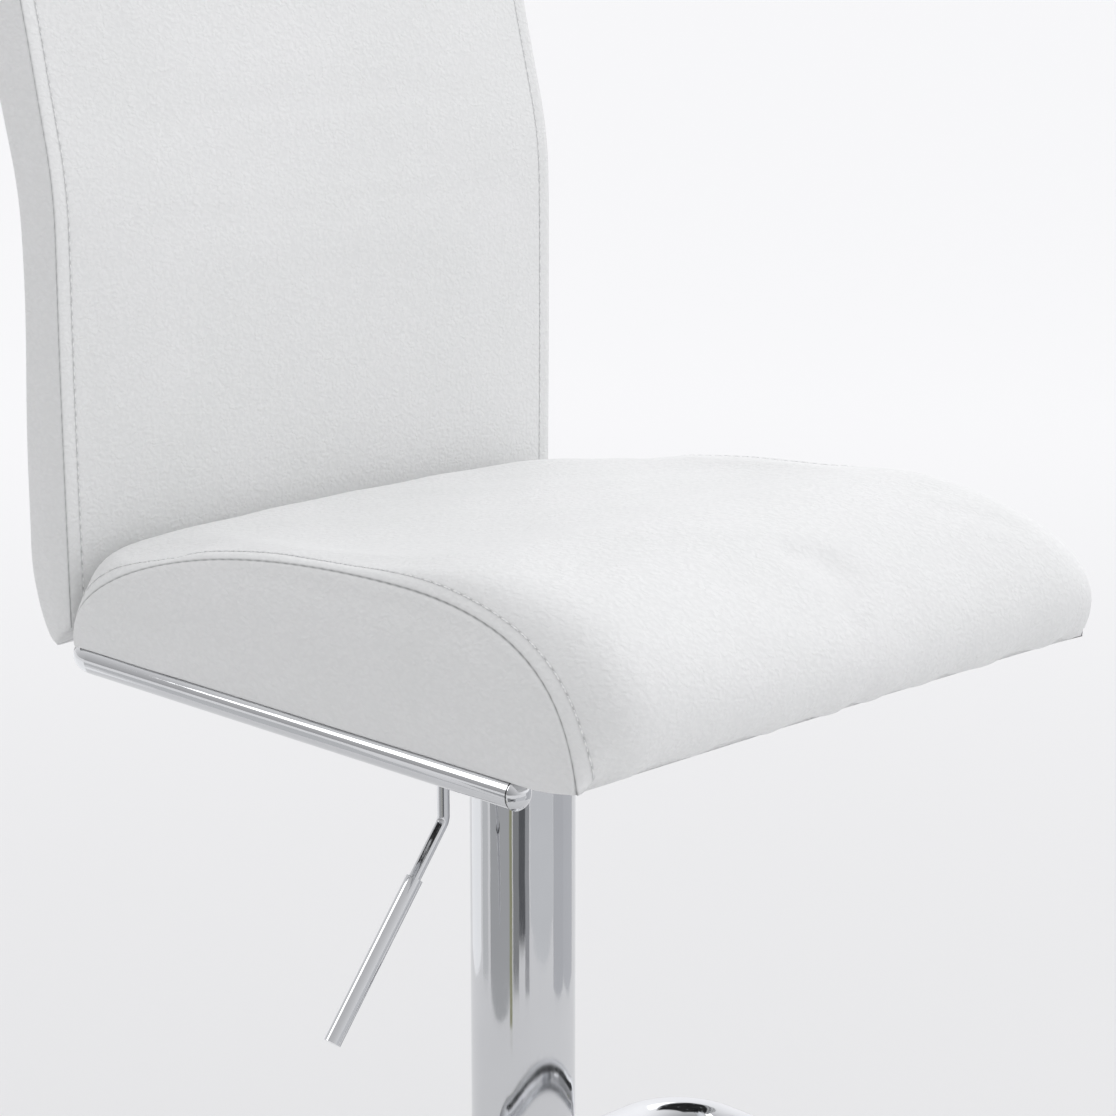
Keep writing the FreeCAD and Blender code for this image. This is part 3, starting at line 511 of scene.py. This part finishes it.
# %% Fill and sew the backrest
back_soft = np.zeros_like(back_grid)
coarse_grid, coarse_t, coarse_v = back_rings(56, fine=False)
ct, cv = len(coarse_t), len(coarse_v)
held = [0, ct - 1, ct + cv, 2 * ct + cv - 1]
back_move = filled("back_filling", coarse_grid, held, 2.0, 2.2)
back_soft = spread(back_move, (coarse_t, coarse_v), (back_t, back_v), back_stations)
side_depth = np.maximum(np.linalg.norm(back_grid[:, len(back_t) - 1] - back_grid[:, len(back_t) + len(back_v)],
                                       axis=1), 3)
end_fade = np.clip(side_depth / 14, 0, 1)[:, None]
back_shape = back_grid + back_soft
b_near, b_other, b_panel = seam_distance(back_shape, len(back_t), len(back_v))
back_relief = sewn_relief(b_near, b_panel, back_stations)
back_relief += sewn_relief(b_other, b_panel * 0 + 1, back_stations)
back_relief += soft_unevenness(back_shape, 0.3, 150, 0.3) * np.clip(b_near / 20, 0, 1)
back_cover, back_points = sewn_cover("backrest_cover", back_shape, back_relief * end_fade,
                                     crease_shade(np.minimum(b_near, b_other), b_panel, back_stations) * end_fade,
                                     "seat", "backrest_cushion")

# %% [markdown]
# ## Topstitching
#
# A lockstitch shows as short threads that dip into the leather at each needle hole, 7 mm apart. A texture
# would do at this distance, but real threads catch the light along the seam. One little capsule is worked
# out once, then placed on every stitch at the same time by adding its three axes as arrays.

# %% One capsule per stitch
def stitches(name, placed, near, count, body):
    """Capsules from hole to hole along both topstitch lines of a ring grid, whose first panel has count columns.

    A capsule point is centre + a * direction + r * (cos(q) * sideways + sin(q) * outwards), where r falls
    to nothing at both tips by sqrt(1 - (2a/length)^6).
    """
    rows = np.arange(len(placed))
    inside = near[:, :count] >= stitch_inset
    right, left = np.argmax(inside, axis=1), count - 1 - np.argmax(inside[:, ::-1], axis=1)
    normal = ring_normals(placed)
    a = np.array([-0.5, -0.46, -0.25, 0, 0.25, 0.46, 0.5])
    radius = np.sqrt(np.clip(1 - np.abs(2 * a) ** 6, 0.0004, 1)) * 0.38 * MM
    q = np.linspace(0, 2 * np.pi, 7)[:-1]
    points = []
    for first, second in ((right - 1, right), (left, left + 1)):
        share = (stitch_inset - near[rows, first]) / (near[rows, second] - near[rows, first])
        line = placed[rows, first] * (1 - share[:, None]) + placed[rows, second] * share[:, None]
        out = normal[rows, first]
        start, middle, end = line[2:-4:2], line[3:-3:2], line[4:-2:2]
        along = end - start
        size = np.linalg.norm(along, axis=1, keepdims=True)
        direction, outwards = along / size, out[3:-3:2]
        sideways = np.cross(direction, outwards)
        centre = middle + outwards * 0.10 * MM
        body_axis = centre[:, None] + direction[:, None] * (a[None, :, None] * size[:, None] * 0.80)
        spoke = (np.cos(q)[None, :, None] * sideways[:, None] + np.sin(q)[None, :, None] * outwards[:, None])
        points.append(body_axis[:, :, None] + spoke[:, None] * radius[None, :, None, None])
    points = np.concatenate(points)
    amount, steps, sides = points.shape[:3]
    index = np.arange(amount * steps * sides).reshape(amount, steps, sides)
    after = np.roll(index, -1, axis=2)
    skin = np.stack([index[:, :-1], index[:, 1:], after[:, 1:], after[:, :-1]], axis=-1).reshape(-1, 4)
    tips = np.concatenate([index[:, 0], index[:, -1, ::-1]])
    mesh = bpy.data.meshes.new(name)
    mesh.from_pydata(points.reshape(-1, 3).tolist(), [], skin.tolist() + tips.tolist())
    mesh.polygons.foreach_set("use_smooth", np.ones(len(mesh.polygons), bool))
    piece = bpy.data.objects.new(name, mesh)
    bpy.context.scene.collection.objects.link(piece)
    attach(piece, body)
    print(name, amount, "stitches")
    return piece


seat_stitches = stitches("seat_stitches", seat_points, near, nt, "seat")
back_stitches = stitches("backrest_stitches", back_points, b_near, len(back_t), "seat")

# %% [markdown]
# ## Dust cover
#
# Under the seat board a thin black non-woven cloth is stapled tight. It sags a little between the crossbars
# that press it to the board. The sheet is a single grid, with a modifier to give it thickness.

# %% Dust cover
def dust_cloth():
    """Flat grid whose height falls by sag * sin^2 between the crossbars and fades to nothing at the hem."""
    low, high = (np.array(corner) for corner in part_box("dust_cover"))
    u, w = np.linspace(0, 1, 61), np.linspace(0, 1, 61)
    x = low[0] + (high[0] - low[0]) * u[:, None] + 0 * w[None]
    y = low[1] + (high[1] - low[1]) * w[None] + 0 * u[:, None]
    hem = np.clip(np.sin(np.pi * u) * 3, 0, 1)[:, None] * np.clip(np.sin(np.pi * w) * 3, 0, 1)[None]
    bars = np.clip((np.abs(np.abs(y) - 0.080) - 0.018) / 0.03, 0, 1)
    sag = 0.0012 * hem * bars * (1 + 0.3 * np.sin(u * 29)[:, None] * np.sin(w * 23)[None])
    z = (low[2] + high[2]) / 2 + 0.0001 - sag
    index = np.arange(u.size * w.size).reshape(u.size, w.size)
    faces = np.stack([index[:-1, :-1], index[:-1, 1:], index[1:, 1:], index[1:, :-1]], axis=-1).reshape(-1, 4)
    mesh = bpy.data.meshes.new("dust_cloth")
    mesh.from_pydata(np.stack([x, y, z], axis=-1).reshape(-1, 3).tolist(), [], faces.tolist())
    mesh.polygons.foreach_set("use_smooth", np.ones(len(mesh.polygons), bool))
    piece = bpy.data.objects.new("dust_cloth", mesh)
    bpy.context.scene.collection.objects.link(piece)
    thickness = piece.modifiers.new("thickness", "SOLIDIFY")
    thickness.thickness, thickness.offset = 0.0003, 0
    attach(piece, "seat")
    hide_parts("dust_cover")
    return piece


dust = dust_cloth()
print("dust cloth", len(dust.data.polygons), "faces")

# %% [markdown]
# ## Materials
#
# Each material is named for the real one and for how its surface was made. Colours are written as sRGB hex
# values, because those are what a swatch shows, and one function turns them to the linear values that the
# shader needs. Another adds a node with its settings and links, so that a material reads from top to bottom.

# %% Helpers for materials
def linear(hex_colour):
    """sRGB hex to linear RGBA: c/12.92 below 0.04045, else ((c+0.055)/1.055)^2.4."""
    c = np.array([int(hex_colour[k:k + 2], 16) for k in (1, 3, 5)]) / 255
    value = np.where(c <= 0.04045, c / 12.92, ((c + 0.055) / 1.055) ** 2.4)
    return (*value.tolist(), 1.0)


def add(material, kind, links=None, inputs=None, **settings):
    """Adds a shader node: settings are its own properties, inputs its socket values, links its sources."""
    tree = material.node_tree
    node = tree.nodes.new("ShaderNode" + kind)
    for key, value in settings.items():
        setattr(node, key, value)
    for key, value in (inputs or {}).items():
        node.inputs[key].default_value = value
    for key, socket in (links or {}).items():
        tree.links.new(socket, node.inputs[key])
    return node


def start(name, **inputs):
    """A new material with one Principled shader, and Object coordinates in metres."""
    material = bpy.data.materials.new(name)
    material.use_nodes = True
    shader = material.node_tree.nodes["Principled BSDF"]
    for key, value in inputs.items():
        shader.inputs[key.replace("_", " ")].default_value = value
    place = add(material, "TexCoord").outputs["Object"]
    return material, shader, place


def feed(material, shader, **sources):
    """Links sockets to the shader's inputs by name."""
    for key, socket in sources.items():
        material.node_tree.links.new(socket, shader.inputs[key.replace("_", " ")])


# %% [markdown]
# PVC faux leather: a plasticised PVC skin, foamed on a knitted backing and embossed by a roller with a pebble
# grain. The real pebbles are about 1 mm across, and are drawn at 2.4 mm with 0.8 mm creases, coarser than they
# are, so that they show. The skin is nearly
# white, and its low gloss comes from a matte lacquer, so highlights are broad and break up along the pebbles.

# %% White PVC faux leather
def embossed_pvc_leather():
    pebble_size, crease_size = 2.4, 0.8
    material, shader, place = start("white_pvc_faux_leather", Roughness=0.46, IOR=1.52)
    shader.inputs["Specular IOR Level"].default_value = 0.42
    warp = add(material, "TexNoise", {"Vector": place}, {"Scale": 1000 / 5.0, "Detail": 2.0})
    bent = add(material, "MixRGB", {"Color1": place, "Color2": warp.outputs["Color"]}, {"Fac": 0.004})
    squashed = add(material, "Mapping", {"Vector": bent.outputs["Color"]}, {"Scale": (1.0, 0.8, 1.35)})
    pebble = add(material, "TexVoronoi", {"Vector": squashed.outputs["Vector"]}, {"Scale": 1000 / pebble_size},
                 feature="SMOOTH_F1")
    domes = add(material, "MapRange", {"Value": pebble.outputs["Distance"]},
                {"From Min": 0.15, "From Max": 0.75, "To Min": 1.0, "To Max": 0.0}, interpolation_type="SMOOTHSTEP")
    creases = add(material, "TexNoise", {"Vector": place},
                  {"Scale": 1000 / crease_size, "Detail": 4.0, "Roughness": 0.6})
    swell = add(material, "TexNoise", {"Vector": place}, {"Scale": 1000 / 9.0, "Detail": 2.0})
    uneven = add(material, "Math", {0: domes.outputs["Result"], 1: swell.outputs["Fac"]}, operation="MULTIPLY")
    grain = add(material, "Math", {0: creases.outputs["Fac"], 2: uneven.outputs["Value"]}, {1: 0.28},
                operation="MULTIPLY_ADD")
    bump = add(material, "Bump", {"Height": grain.outputs["Value"]}, {"Strength": 0.85, "Distance": 0.00045})
    # Painted shade: the crease attribute darkens the leather towards #6E6F70 along each seam's crease and at the
    # topstitch's needle holes.
    crease = add(material, "Attribute", attribute_name="crease", attribute_type="GEOMETRY")
    cloud = add(material, "TexNoise", {"Vector": place}, {"Scale": 1000 / 70.0, "Detail": 2.0})
    white = add(material, "MixRGB", {"Fac": cloud.outputs["Fac"]},
                {"Color1": linear("#E9EAE9"), "Color2": linear("#EEEEEE")})
    # Painted shade: the grain's low valleys between the pebbles are darkened by up to 11 % towards #9EA0A0.
    valley_shade = add(material, "MapRange", {"Value": grain.outputs["Value"]}, {"To Min": 0.11, "To Max": 0.0})
    grainy = add(material, "MixRGB", {"Fac": valley_shade.outputs["Result"], "Color1": white.outputs["Color"]},
                 {"Color2": linear("#9EA0A0")})
    seam_shaded = add(material, "MixRGB", {"Fac": crease.outputs["Fac"], "Color1": grainy.outputs["Color"]},
               {"Color2": linear("#6E6F70")})
    gloss = add(material, "MapRange", {"Value": domes.outputs["Result"]}, {"To Min": 0.58, "To Max": 0.44})
    feed(material, shader, Base_Color=seam_shaded.outputs["Color"], Normal=bump.outputs["Normal"],
         Roughness=gloss.outputs["Result"])
    return material


# %% [markdown]
# Bonded polyester thread: two plies twisted to 0.8 mm, a little glossier and whiter than the leather. The
# twist shows as slanted ridges about 1 mm apart.

# %% White bonded thread
def twisted_thread():
    material, shader, place = start("white_bonded_polyester_thread", Roughness=0.5, IOR=1.58)
    twist = add(material, "TexWave", {"Vector": place}, {"Scale": 1000 / 1.0 / 6.283, "Distortion": 1.0},
                bands_direction="DIAGONAL")
    tone = add(material, "MixRGB", {"Fac": twist.outputs["Fac"]},
               {"Color1": linear("#DCDDDE"), "Color2": linear("#F4F4F3")})
    bump = add(material, "Bump", {"Height": twist.outputs["Fac"]}, {"Strength": 0.4, "Distance": 0.00015})
    feed(material, shader, Base_Color=tone.outputs["Color"], Normal=bump.outputs["Normal"])
    return material


# %% [markdown]
# Chrome plate: steel tube and sheet, polished, then plated with nickel and a very thin layer of chromium. It
# is a cool mirror, whose look comes from what it reflects. Polishing leaves hair-fine lines and the tube
# keeps slight waves, and both soften the edges of reflections.

# %% Bright chrome plate
def bright_chrome_plate():
    joint_y, joint_gap = -0.1923, 0.0011
    material, shader, place = start("bright_chrome_plated_steel", Metallic=1.0, Roughness=0.07)
    stretched = add(material, "Mapping", {"Vector": place}, {"Scale": (1.0, 1.0, 0.06)})
    lines = add(material, "TexNoise", {"Vector": stretched.outputs["Vector"]},
                {"Scale": 1000 / 0.6, "Detail": 4.0, "Roughness": 0.7})
    haze = add(material, "TexNoise", {"Vector": place}, {"Scale": 1000 / 45.0, "Detail": 3.0})
    dull = add(material, "Math", {0: lines.outputs["Fac"], 1: haze.outputs["Fac"]}, operation="MULTIPLY")
    rough = add(material, "MapRange", {"Value": dull.outputs["Value"]},
                {"From Min": 0.1, "From Max": 0.5, "To Min": 0.035, "To Max": 0.11})
    waves = add(material, "TexNoise", {"Vector": place}, {"Scale": 1000 / 28.0, "Detail": 1.0})
    bump = add(material, "Bump", {"Height": waves.outputs["Fac"]}, {"Strength": 0.25, "Distance": 0.0006})
    tint = add(material, "MixRGB", {"Fac": haze.outputs["Fac"]},
               {"Color1": linear("#D2D3D5"), "Color2": linear("#DADBDD")})
    axes = add(material, "SeparateXYZ", {"Vector": place})
    # Painted shadow: a dark #3A3A3B band 1.1 mm wide at y = -192.3 mm and above 0.5 m, where each rail tube meets its
    # end cap, stands for the shadow in the gap between them.
    joint = add(material, "Math", {0: axes.outputs["Y"]}, {1: joint_y, 2: joint_gap / 2}, operation="COMPARE")
    high = add(material, "Math", {0: axes.outputs["Z"]}, {1: 0.5}, operation="GREATER_THAN")
    cap_joint_shadow = add(material, "Math", {0: joint.outputs["Value"], 1: high.outputs["Value"]}, operation="MULTIPLY")
    shaded = add(material, "MixRGB", {"Fac": cap_joint_shadow.outputs["Value"], "Color1": tint.outputs["Color"]},
                 {"Color2": linear("#3A3A3B")})
    feed(material, shader, Roughness=rough.outputs["Result"], Normal=bump.outputs["Normal"],
         Base_Color=shaded.outputs["Color"])
    return material


# %% [markdown]
# Zinc plate and bare steel: electroplated zinc on screws is a bluish grey with a fine matte crystal that
# spreads highlights. Drawn and ground steel is warmer, with lines left by the die or the wheel.

# %% Zinc and steel
def zinc_plated_steel():
    material, shader, place = start("bright_zinc_plated_steel", Metallic=1.0, Roughness=0.34)
    crystal = add(material, "TexVoronoi", {"Vector": place}, {"Scale": 1000 / 0.8})
    tone = add(material, "MixRGB", {"Fac": crystal.outputs["Distance"]},
               {"Color1": linear("#C9CDD0"), "Color2": linear("#AEB2B4")})
    patches = add(material, "TexNoise", {"Vector": place}, {"Scale": 1000 / 9.0, "Detail": 3.0})
    rough = add(material, "MapRange", {"Value": patches.outputs["Fac"]}, {"To Min": 0.26, "To Max": 0.46})
    feed(material, shader, Base_Color=tone.outputs["Color"], Roughness=rough.outputs["Result"])
    return material


def ground_steel():
    material, shader, place = start("ground_carbon_steel", Metallic=1.0, Roughness=0.3)
    stretched = add(material, "Mapping", {"Vector": place}, {"Scale": (1.0, 1.0, 12.0)})
    lines = add(material, "TexNoise", {"Vector": stretched.outputs["Vector"]}, {"Scale": 220.0, "Detail": 5.0})
    tone = add(material, "MixRGB", {"Fac": lines.outputs["Fac"]},
               {"Color1": linear("#9A9896"), "Color2": linear("#C2C1BE")})
    rough = add(material, "MapRange", {"Value": lines.outputs["Fac"]}, {"To Min": 0.2, "To Max": 0.42})
    bump = add(material, "Bump", {"Height": lines.outputs["Fac"]}, {"Strength": 0.2, "Distance": 0.00005})
    feed(material, shader, Base_Color=tone.outputs["Color"], Roughness=rough.outputs["Result"],
         Normal=bump.outputs["Normal"])
    return material


# %% [markdown]
# Black powder coat: dry paint that melts in an oven and flows to a fine orange peel, with swells about 1.5 mm
# apart. It is a satin black, a little lighter where dust has settled.

# %% Black powder coat
def black_powder_coat():
    material, shader, place = start("black_polyester_powder_coat", Roughness=0.42, IOR=1.5)
    peel = add(material, "TexNoise", {"Vector": place}, {"Scale": 1000 / 1.5, "Detail": 2.0})
    dust = add(material, "TexNoise", {"Vector": place}, {"Scale": 1000 / 30.0, "Detail": 4.0})
    tone = add(material, "MixRGB", {"Fac": dust.outputs["Fac"]},
               {"Color1": linear("#161616"), "Color2": linear("#232323")})
    bump = add(material, "Bump", {"Height": peel.outputs["Fac"]}, {"Strength": 0.3, "Distance": 0.0001})
    rough = add(material, "MapRange", {"Value": dust.outputs["Fac"]}, {"To Min": 0.36, "To Max": 0.52})
    feed(material, shader, Base_Color=tone.outputs["Color"], Normal=bump.outputs["Normal"],
         Roughness=rough.outputs["Result"])
    return material


# %% [markdown]
# Polypropylene and rubber: both are black, moulded and matte. The plastic has a spark-eroded texture of about
# 0.4 mm. The rubber is duller still, because it has no clear skin, and wears grey on its high spots.

# %% Moulded plastic and rubber
def moulded_polypropylene():
    material, shader, place = start("black_moulded_polypropylene", Roughness=0.5, IOR=1.49)
    spark = add(material, "TexNoise", {"Vector": place}, {"Scale": 1000 / 0.4, "Detail": 3.0})
    tone = add(material, "MixRGB", {"Fac": spark.outputs["Fac"]},
               {"Color1": linear("#141415"), "Color2": linear("#1E1E20")})
    bump = add(material, "Bump", {"Height": spark.outputs["Fac"]}, {"Strength": 0.35, "Distance": 0.00006})
    feed(material, shader, Base_Color=tone.outputs["Color"], Normal=bump.outputs["Normal"])
    return material


def black_rubber():
    material, shader, place = start("black_styrene_rubber", Roughness=0.78, IOR=1.52)
    skin = add(material, "TexNoise", {"Vector": place}, {"Scale": 1000 / 2.0, "Detail": 5.0})
    tone = add(material, "MixRGB", {"Fac": skin.outputs["Fac"]},
               {"Color1": linear("#121212"), "Color2": linear("#262625")})
    bump = add(material, "Bump", {"Height": skin.outputs["Fac"]}, {"Strength": 0.4, "Distance": 0.0001})
    feed(material, shader, Base_Color=tone.outputs["Color"], Normal=bump.outputs["Normal"])
    return material


# %% [markdown]
# Aluminium, plywood and cloth: turned aluminium shows fine rings. Birch plywood shows pale veneers 1.4 mm
# thick on its edge and slow figure on its face. The dust cover is spunbonded polypropylene, a felt of fine
# fibres pressed with a pattern of dots about 1.5 mm apart.

# %% Aluminium, plywood and non-woven cloth
def turned_aluminium():
    material, shader, place = start("turned_aluminium", Metallic=1.0, Roughness=0.28)
    rings = add(material, "TexWave", {"Vector": place}, {"Scale": 1000 / 0.8 / 6.283, "Distortion": 0.4},
                bands_direction="Z")
    tone = add(material, "MixRGB", {"Fac": rings.outputs["Fac"]},
               {"Color1": linear("#C4C6C8"), "Color2": linear("#D8D9DA")})
    bump = add(material, "Bump", {"Height": rings.outputs["Fac"]}, {"Strength": 0.3, "Distance": 0.00004})
    feed(material, shader, Base_Color=tone.outputs["Color"], Normal=bump.outputs["Normal"])
    return material


def birch_plywood():
    material, shader, place = start("birch_plywood", Roughness=0.6, IOR=1.5)
    plies = add(material, "TexWave", {"Vector": place}, {"Scale": 1000 / 2.8 / 6.283, "Distortion": 0.3},
                bands_direction="Z")
    stretched = add(material, "Mapping", {"Vector": place}, {"Scale": (18.0, 1.2, 18.0)})
    figure = add(material, "TexNoise", {"Vector": stretched.outputs["Vector"]}, {"Scale": 9.0, "Detail": 6.0})
    wood = add(material, "MixRGB", {"Fac": figure.outputs["Fac"]},
               {"Color1": linear("#C9A676"), "Color2": linear("#E2C79B")})
    edge = add(material, "Math", {0: plies.outputs["Fac"]}, {1: 0.35}, operation="MULTIPLY")
    tone = add(material, "MixRGB", {"Fac": edge.outputs["Value"], "Color1": wood.outputs["Color"]},
               {"Color2": linear("#9A7447")})
    bump = add(material, "Bump", {"Height": figure.outputs["Fac"]}, {"Strength": 0.3, "Distance": 0.0002})
    feed(material, shader, Base_Color=tone.outputs["Color"], Normal=bump.outputs["Normal"])
    return material


def spunbonded_cloth():
    material, shader, place = start("black_spunbonded_polypropylene", Roughness=0.85, IOR=1.49)
    shader.inputs["Sheen Weight"].default_value = 0.2
    dots = add(material, "TexVoronoi", {"Vector": place}, {"Scale": 1000 / 1.5, "Randomness": 0.15})
    fibres = add(material, "TexNoise", {"Vector": place}, {"Scale": 1000 / 0.5, "Detail": 6.0, "Roughness": 0.7})
    tone = add(material, "MixRGB", {"Fac": fibres.outputs["Fac"]},
               {"Color1": linear("#111112"), "Color2": linear("#2A2A2C")})
    height = add(material, "Math", {0: dots.outputs["Distance"], 1: fibres.outputs["Fac"]}, operation="MULTIPLY")
    bump = add(material, "Bump", {"Height": height.outputs["Value"]}, {"Strength": 0.6, "Distance": 0.0002})
    feed(material, shader, Base_Color=tone.outputs["Color"], Normal=bump.outputs["Normal"])
    return material


# %% Give every piece its material
leather, thread, chrome = embossed_pvc_leather(), twisted_thread(), bright_chrome_plate()
finishes = {
    chrome: ["base_shell", "stand_tube", "footrest_hoop", "footrest_collar", "column_sleeve", "seat_tube",
             "tube_cap_right", "tube_cap_left", "lever_rod", "lever_grip"],
    leather: ["seat_cushion", "backrest_cushion"],
    black_powder_coat(): ["mechanism_plate", "lever_bracket", "taper_socket", "crossbar_front",
                          "crossbar_rear", "base_hub", "lever_barrel", "gas_cylinder"],
    ground_steel(): ["ballast_plate", "tube_foot", "back_upright_right", "back_upright_left",
                     "back_top_tube", "bearing_lower_washer", "bearing_upper_washer", "bearing_balls",
                     "piston_rod", "rod_clip", "clip_washer", "lever_pivot_pin", "pivot_pin_clips",
                     "release_pin"],
    zinc_plated_steel(): ["plate_bolts", "bolt_washers", "tee_nuts", "crossbar_screws", "panel_screws",
                          "footrest_set_screws"],
    turned_aluminium(): ["valve_block", "piston", "rod_guide"],
    moulded_polypropylene(): ["column_collar", "guide_bush", "sleeve_cap", "sleeve_guide_ring",
                              "bearing_cage"],
    black_rubber(): ["floor_ring", "bump_stop"],
    birch_plywood(): ["seat_board", "back_panel"],
    spunbonded_cloth(): ["dust_cover"],
}
for material, names in finishes.items():
    for name in names:
        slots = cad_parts[name].data.materials
        slots.clear()
        slots.append(material)
dressed = sorted(name for names in finishes.values() for name in names)
print("nodes without a finish:", sorted(set(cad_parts) - set(dressed)))
for piece, material in ((seat_cover, leather), (back_cover, leather), (seat_stitches, thread),
                        (back_stitches, thread), (dust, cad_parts["dust_cover"].data.materials[0])):
    piece.data.materials.append(material)

# %% [markdown]
# ## Studio
#
# White leather on a white ground is a matter of small steps. The sky here is brightest above and on the left
# side of the seat, so the top glows, the front is a step darker and the lever's side is darker again. Chrome
# has no colour of its own, so a few cards stand round the stool for it to mirror: bright strips for its
# highlights and dark ones for its edges. They are hidden from the camera, but not from the chrome.

# %% Floor
def sheet_mesh(name, corners):
    """A single rectangle through four corners."""
    mesh = bpy.data.meshes.new(name)
    mesh.from_pydata(corners, [], [(0, 1, 2, 3)])
    piece = bpy.data.objects.new(name, mesh)
    bpy.context.scene.collection.objects.link(piece)
    return piece


floor = sheet_mesh("studio_floor", [(-60, -60, 0), (60, -60, 0), (60, 60, 0), (-60, 60, 0)])
paper, paper_shader, paper_place = start("white_studio_paper", Roughness=0.9)
paper_shader.inputs["Specular IOR Level"].default_value = 0.1
# Painted shade: the paper's colour is a pool of grey round the stool, #E6E6E6 within 0.5 m fading to #FAFAFA by 3.6 m.
reach = add(paper, "VectorMath", {0: paper_place}, operation="LENGTH")
far = add(paper, "MapRange", {"Value": reach.outputs["Value"]}, {"From Min": 0.5, "From Max": 3.6},
          interpolation_type="SMOOTHSTEP")
tone = add(paper, "MixRGB", {"Fac": far.outputs["Result"]},
           {"Color1": linear("#E6E6E6"), "Color2": linear("#FAFAFA")})
feed(paper, paper_shader, Base_Color=tone.outputs["Color"])
floor.data.materials.append(paper)

# %% Sky
# Brightness in a direction d is base + slope . d, so a surface that faces along the slope gets the most.
sky_base, sky_slope = 0.79, (0.47, -0.02, 0.30)
world = bpy.data.worlds.new("studio_sky")
bpy.context.scene.world = world
world.use_nodes = True
direction = add(world, "TexCoord").outputs["Generated"]
lean = add(world, "VectorMath", {0: direction}, {1: sky_slope}, operation="DOT_PRODUCT")
strength = add(world, "Math", {0: lean.outputs["Value"]}, {1: sky_base}, operation="ADD")
background = world.node_tree.nodes["Background"]
background.inputs["Color"].default_value = linear("#FDFDFF")
world.node_tree.links.new(strength.outputs["Value"], background.inputs["Strength"])
bpy.context.scene.view_settings.view_transform = "Standard"
bpy.context.scene.view_settings.look = "None"


# %% Cards for the chrome
def glowing(name, colour, glow):
    """Studio card that gives off its own even light, so no lamp changes how it looks."""
    finish = bpy.data.materials.new(name)
    finish.use_nodes = True
    tree = finish.node_tree
    tree.nodes.remove(tree.nodes["Principled BSDF"])
    light = add(finish, "Emission", inputs={"Color": linear(colour), "Strength": glow})
    tree.links.new(light.outputs["Emission"], tree.nodes["Material Output"].inputs["Surface"])
    return finish


def card(name, azimuth, distance, width, low, high, colour, glow):
    """An upright card that faces the column: azimuth in degrees from the camera's side, sizes in metres."""
    toward = math.radians(225.0 + azimuth)
    middle = np.array([math.cos(toward), math.sin(toward)]) * distance
    across = np.array([-math.sin(toward), math.cos(toward)]) * width / 2
    left, right = middle - across, middle + across
    piece = sheet_mesh(name, [(*left, low), (*right, low), (*right, high), (*left, high)])
    piece.visible_camera = piece.visible_shadow = piece.visible_diffuse = False
    piece.data.materials.append(glowing(name, colour, glow))
    return piece


card("dark_card", -3, 1.00, 0.36, 0, 0.24, "#626366", 1.0)
card("middle_card", -14, 0.90, 0.20, 0, 0.34, "#8F9092", 1.0)
card("olive_card", -25, 0.80, 0.08, 0, 0.26, "#9C9C82", 1.0)
card("grey_card", -50, 0.82, 0.72, 0, 0.40, "#B2B3B5", 1.0)
card("left_card", -88, 0.90, 0.26, 0, 0.40, "#D0D1D3", 1.0)
card("bright_left_card", -123, 0.90, 0.70, 0, 0.40, "#FAFBFD", 1.1)
card("soft_edge_card", 10, 0.90, 0.14, 0, 0.30, "#A4A5A8", 1.0)
card("wide_right_card", 43, 0.95, 0.93, 0, 0.34, "#DADBDE", 1.0)
card("right_card", 84, 0.86, 0.44, 0, 0.50, "#C6C7CB", 1.0)
card("far_right_card", 116, 0.86, 0.56, 0, 0.50, "#CBCCD0", 1.0)
card("rail_highlight", -84, 1.33, 0.50, 1.00, 1.75, "#FFFFFF", 3.0)


# %% Backdrop
def backdrop(radius, height, facets):
    """A wall round the floor, radius * (cos a, sin a) at its foot and its top, which hides the sky's dark side.

    Only the camera sees it, so it changes no light and no reflection.
    """
    a = np.linspace(0, 2 * np.pi, facets, endpoint=False)
    ring = np.stack([radius * np.cos(a), radius * np.sin(a), np.zeros(facets)], axis=1)
    here = np.arange(facets)
    after = np.roll(here, -1)
    mesh = bpy.data.meshes.new("studio_backdrop")
    mesh.from_pydata(np.concatenate([ring, ring + (0, 0, height)]).tolist(), [],
                     np.stack([after, here, here + facets, after + facets], axis=1).tolist())
    piece = bpy.data.objects.new("studio_backdrop", mesh)
    bpy.context.scene.collection.objects.link(piece)
    piece.visible_shadow = piece.visible_diffuse = piece.visible_glossy = False
    mesh.materials.append(glowing("studio_backdrop", "#F8F8F9", 1.0))
    return piece


backdrop(55.0, 45.0, 96)

# %% Softboxes
def softbox(name, position, target, size, power):
    """An area light of that size in metres, turned from its position towards the target."""
    data = bpy.data.lights.new(name, "AREA")
    data.shape, data.size, data.size_y = "RECTANGLE", size[0], size[1]
    data.energy = power
    light = bpy.data.objects.new(name, data)
    bpy.context.scene.collection.objects.link(light)
    light.location = position
    towards = np.array(target, float) - np.array(position, float)
    yaw = math.atan2(towards[1], towards[0])
    pitch = math.atan2(np.hypot(towards[0], towards[1]), -towards[2])
    light.rotation_euler = (pitch, 0, yaw - math.pi / 2)
    return light


centre = (0, 0, rail_z)
softbox("top_softbox", (0.9, -0.2, 3.0), centre, (1.6, 1.6), 6)
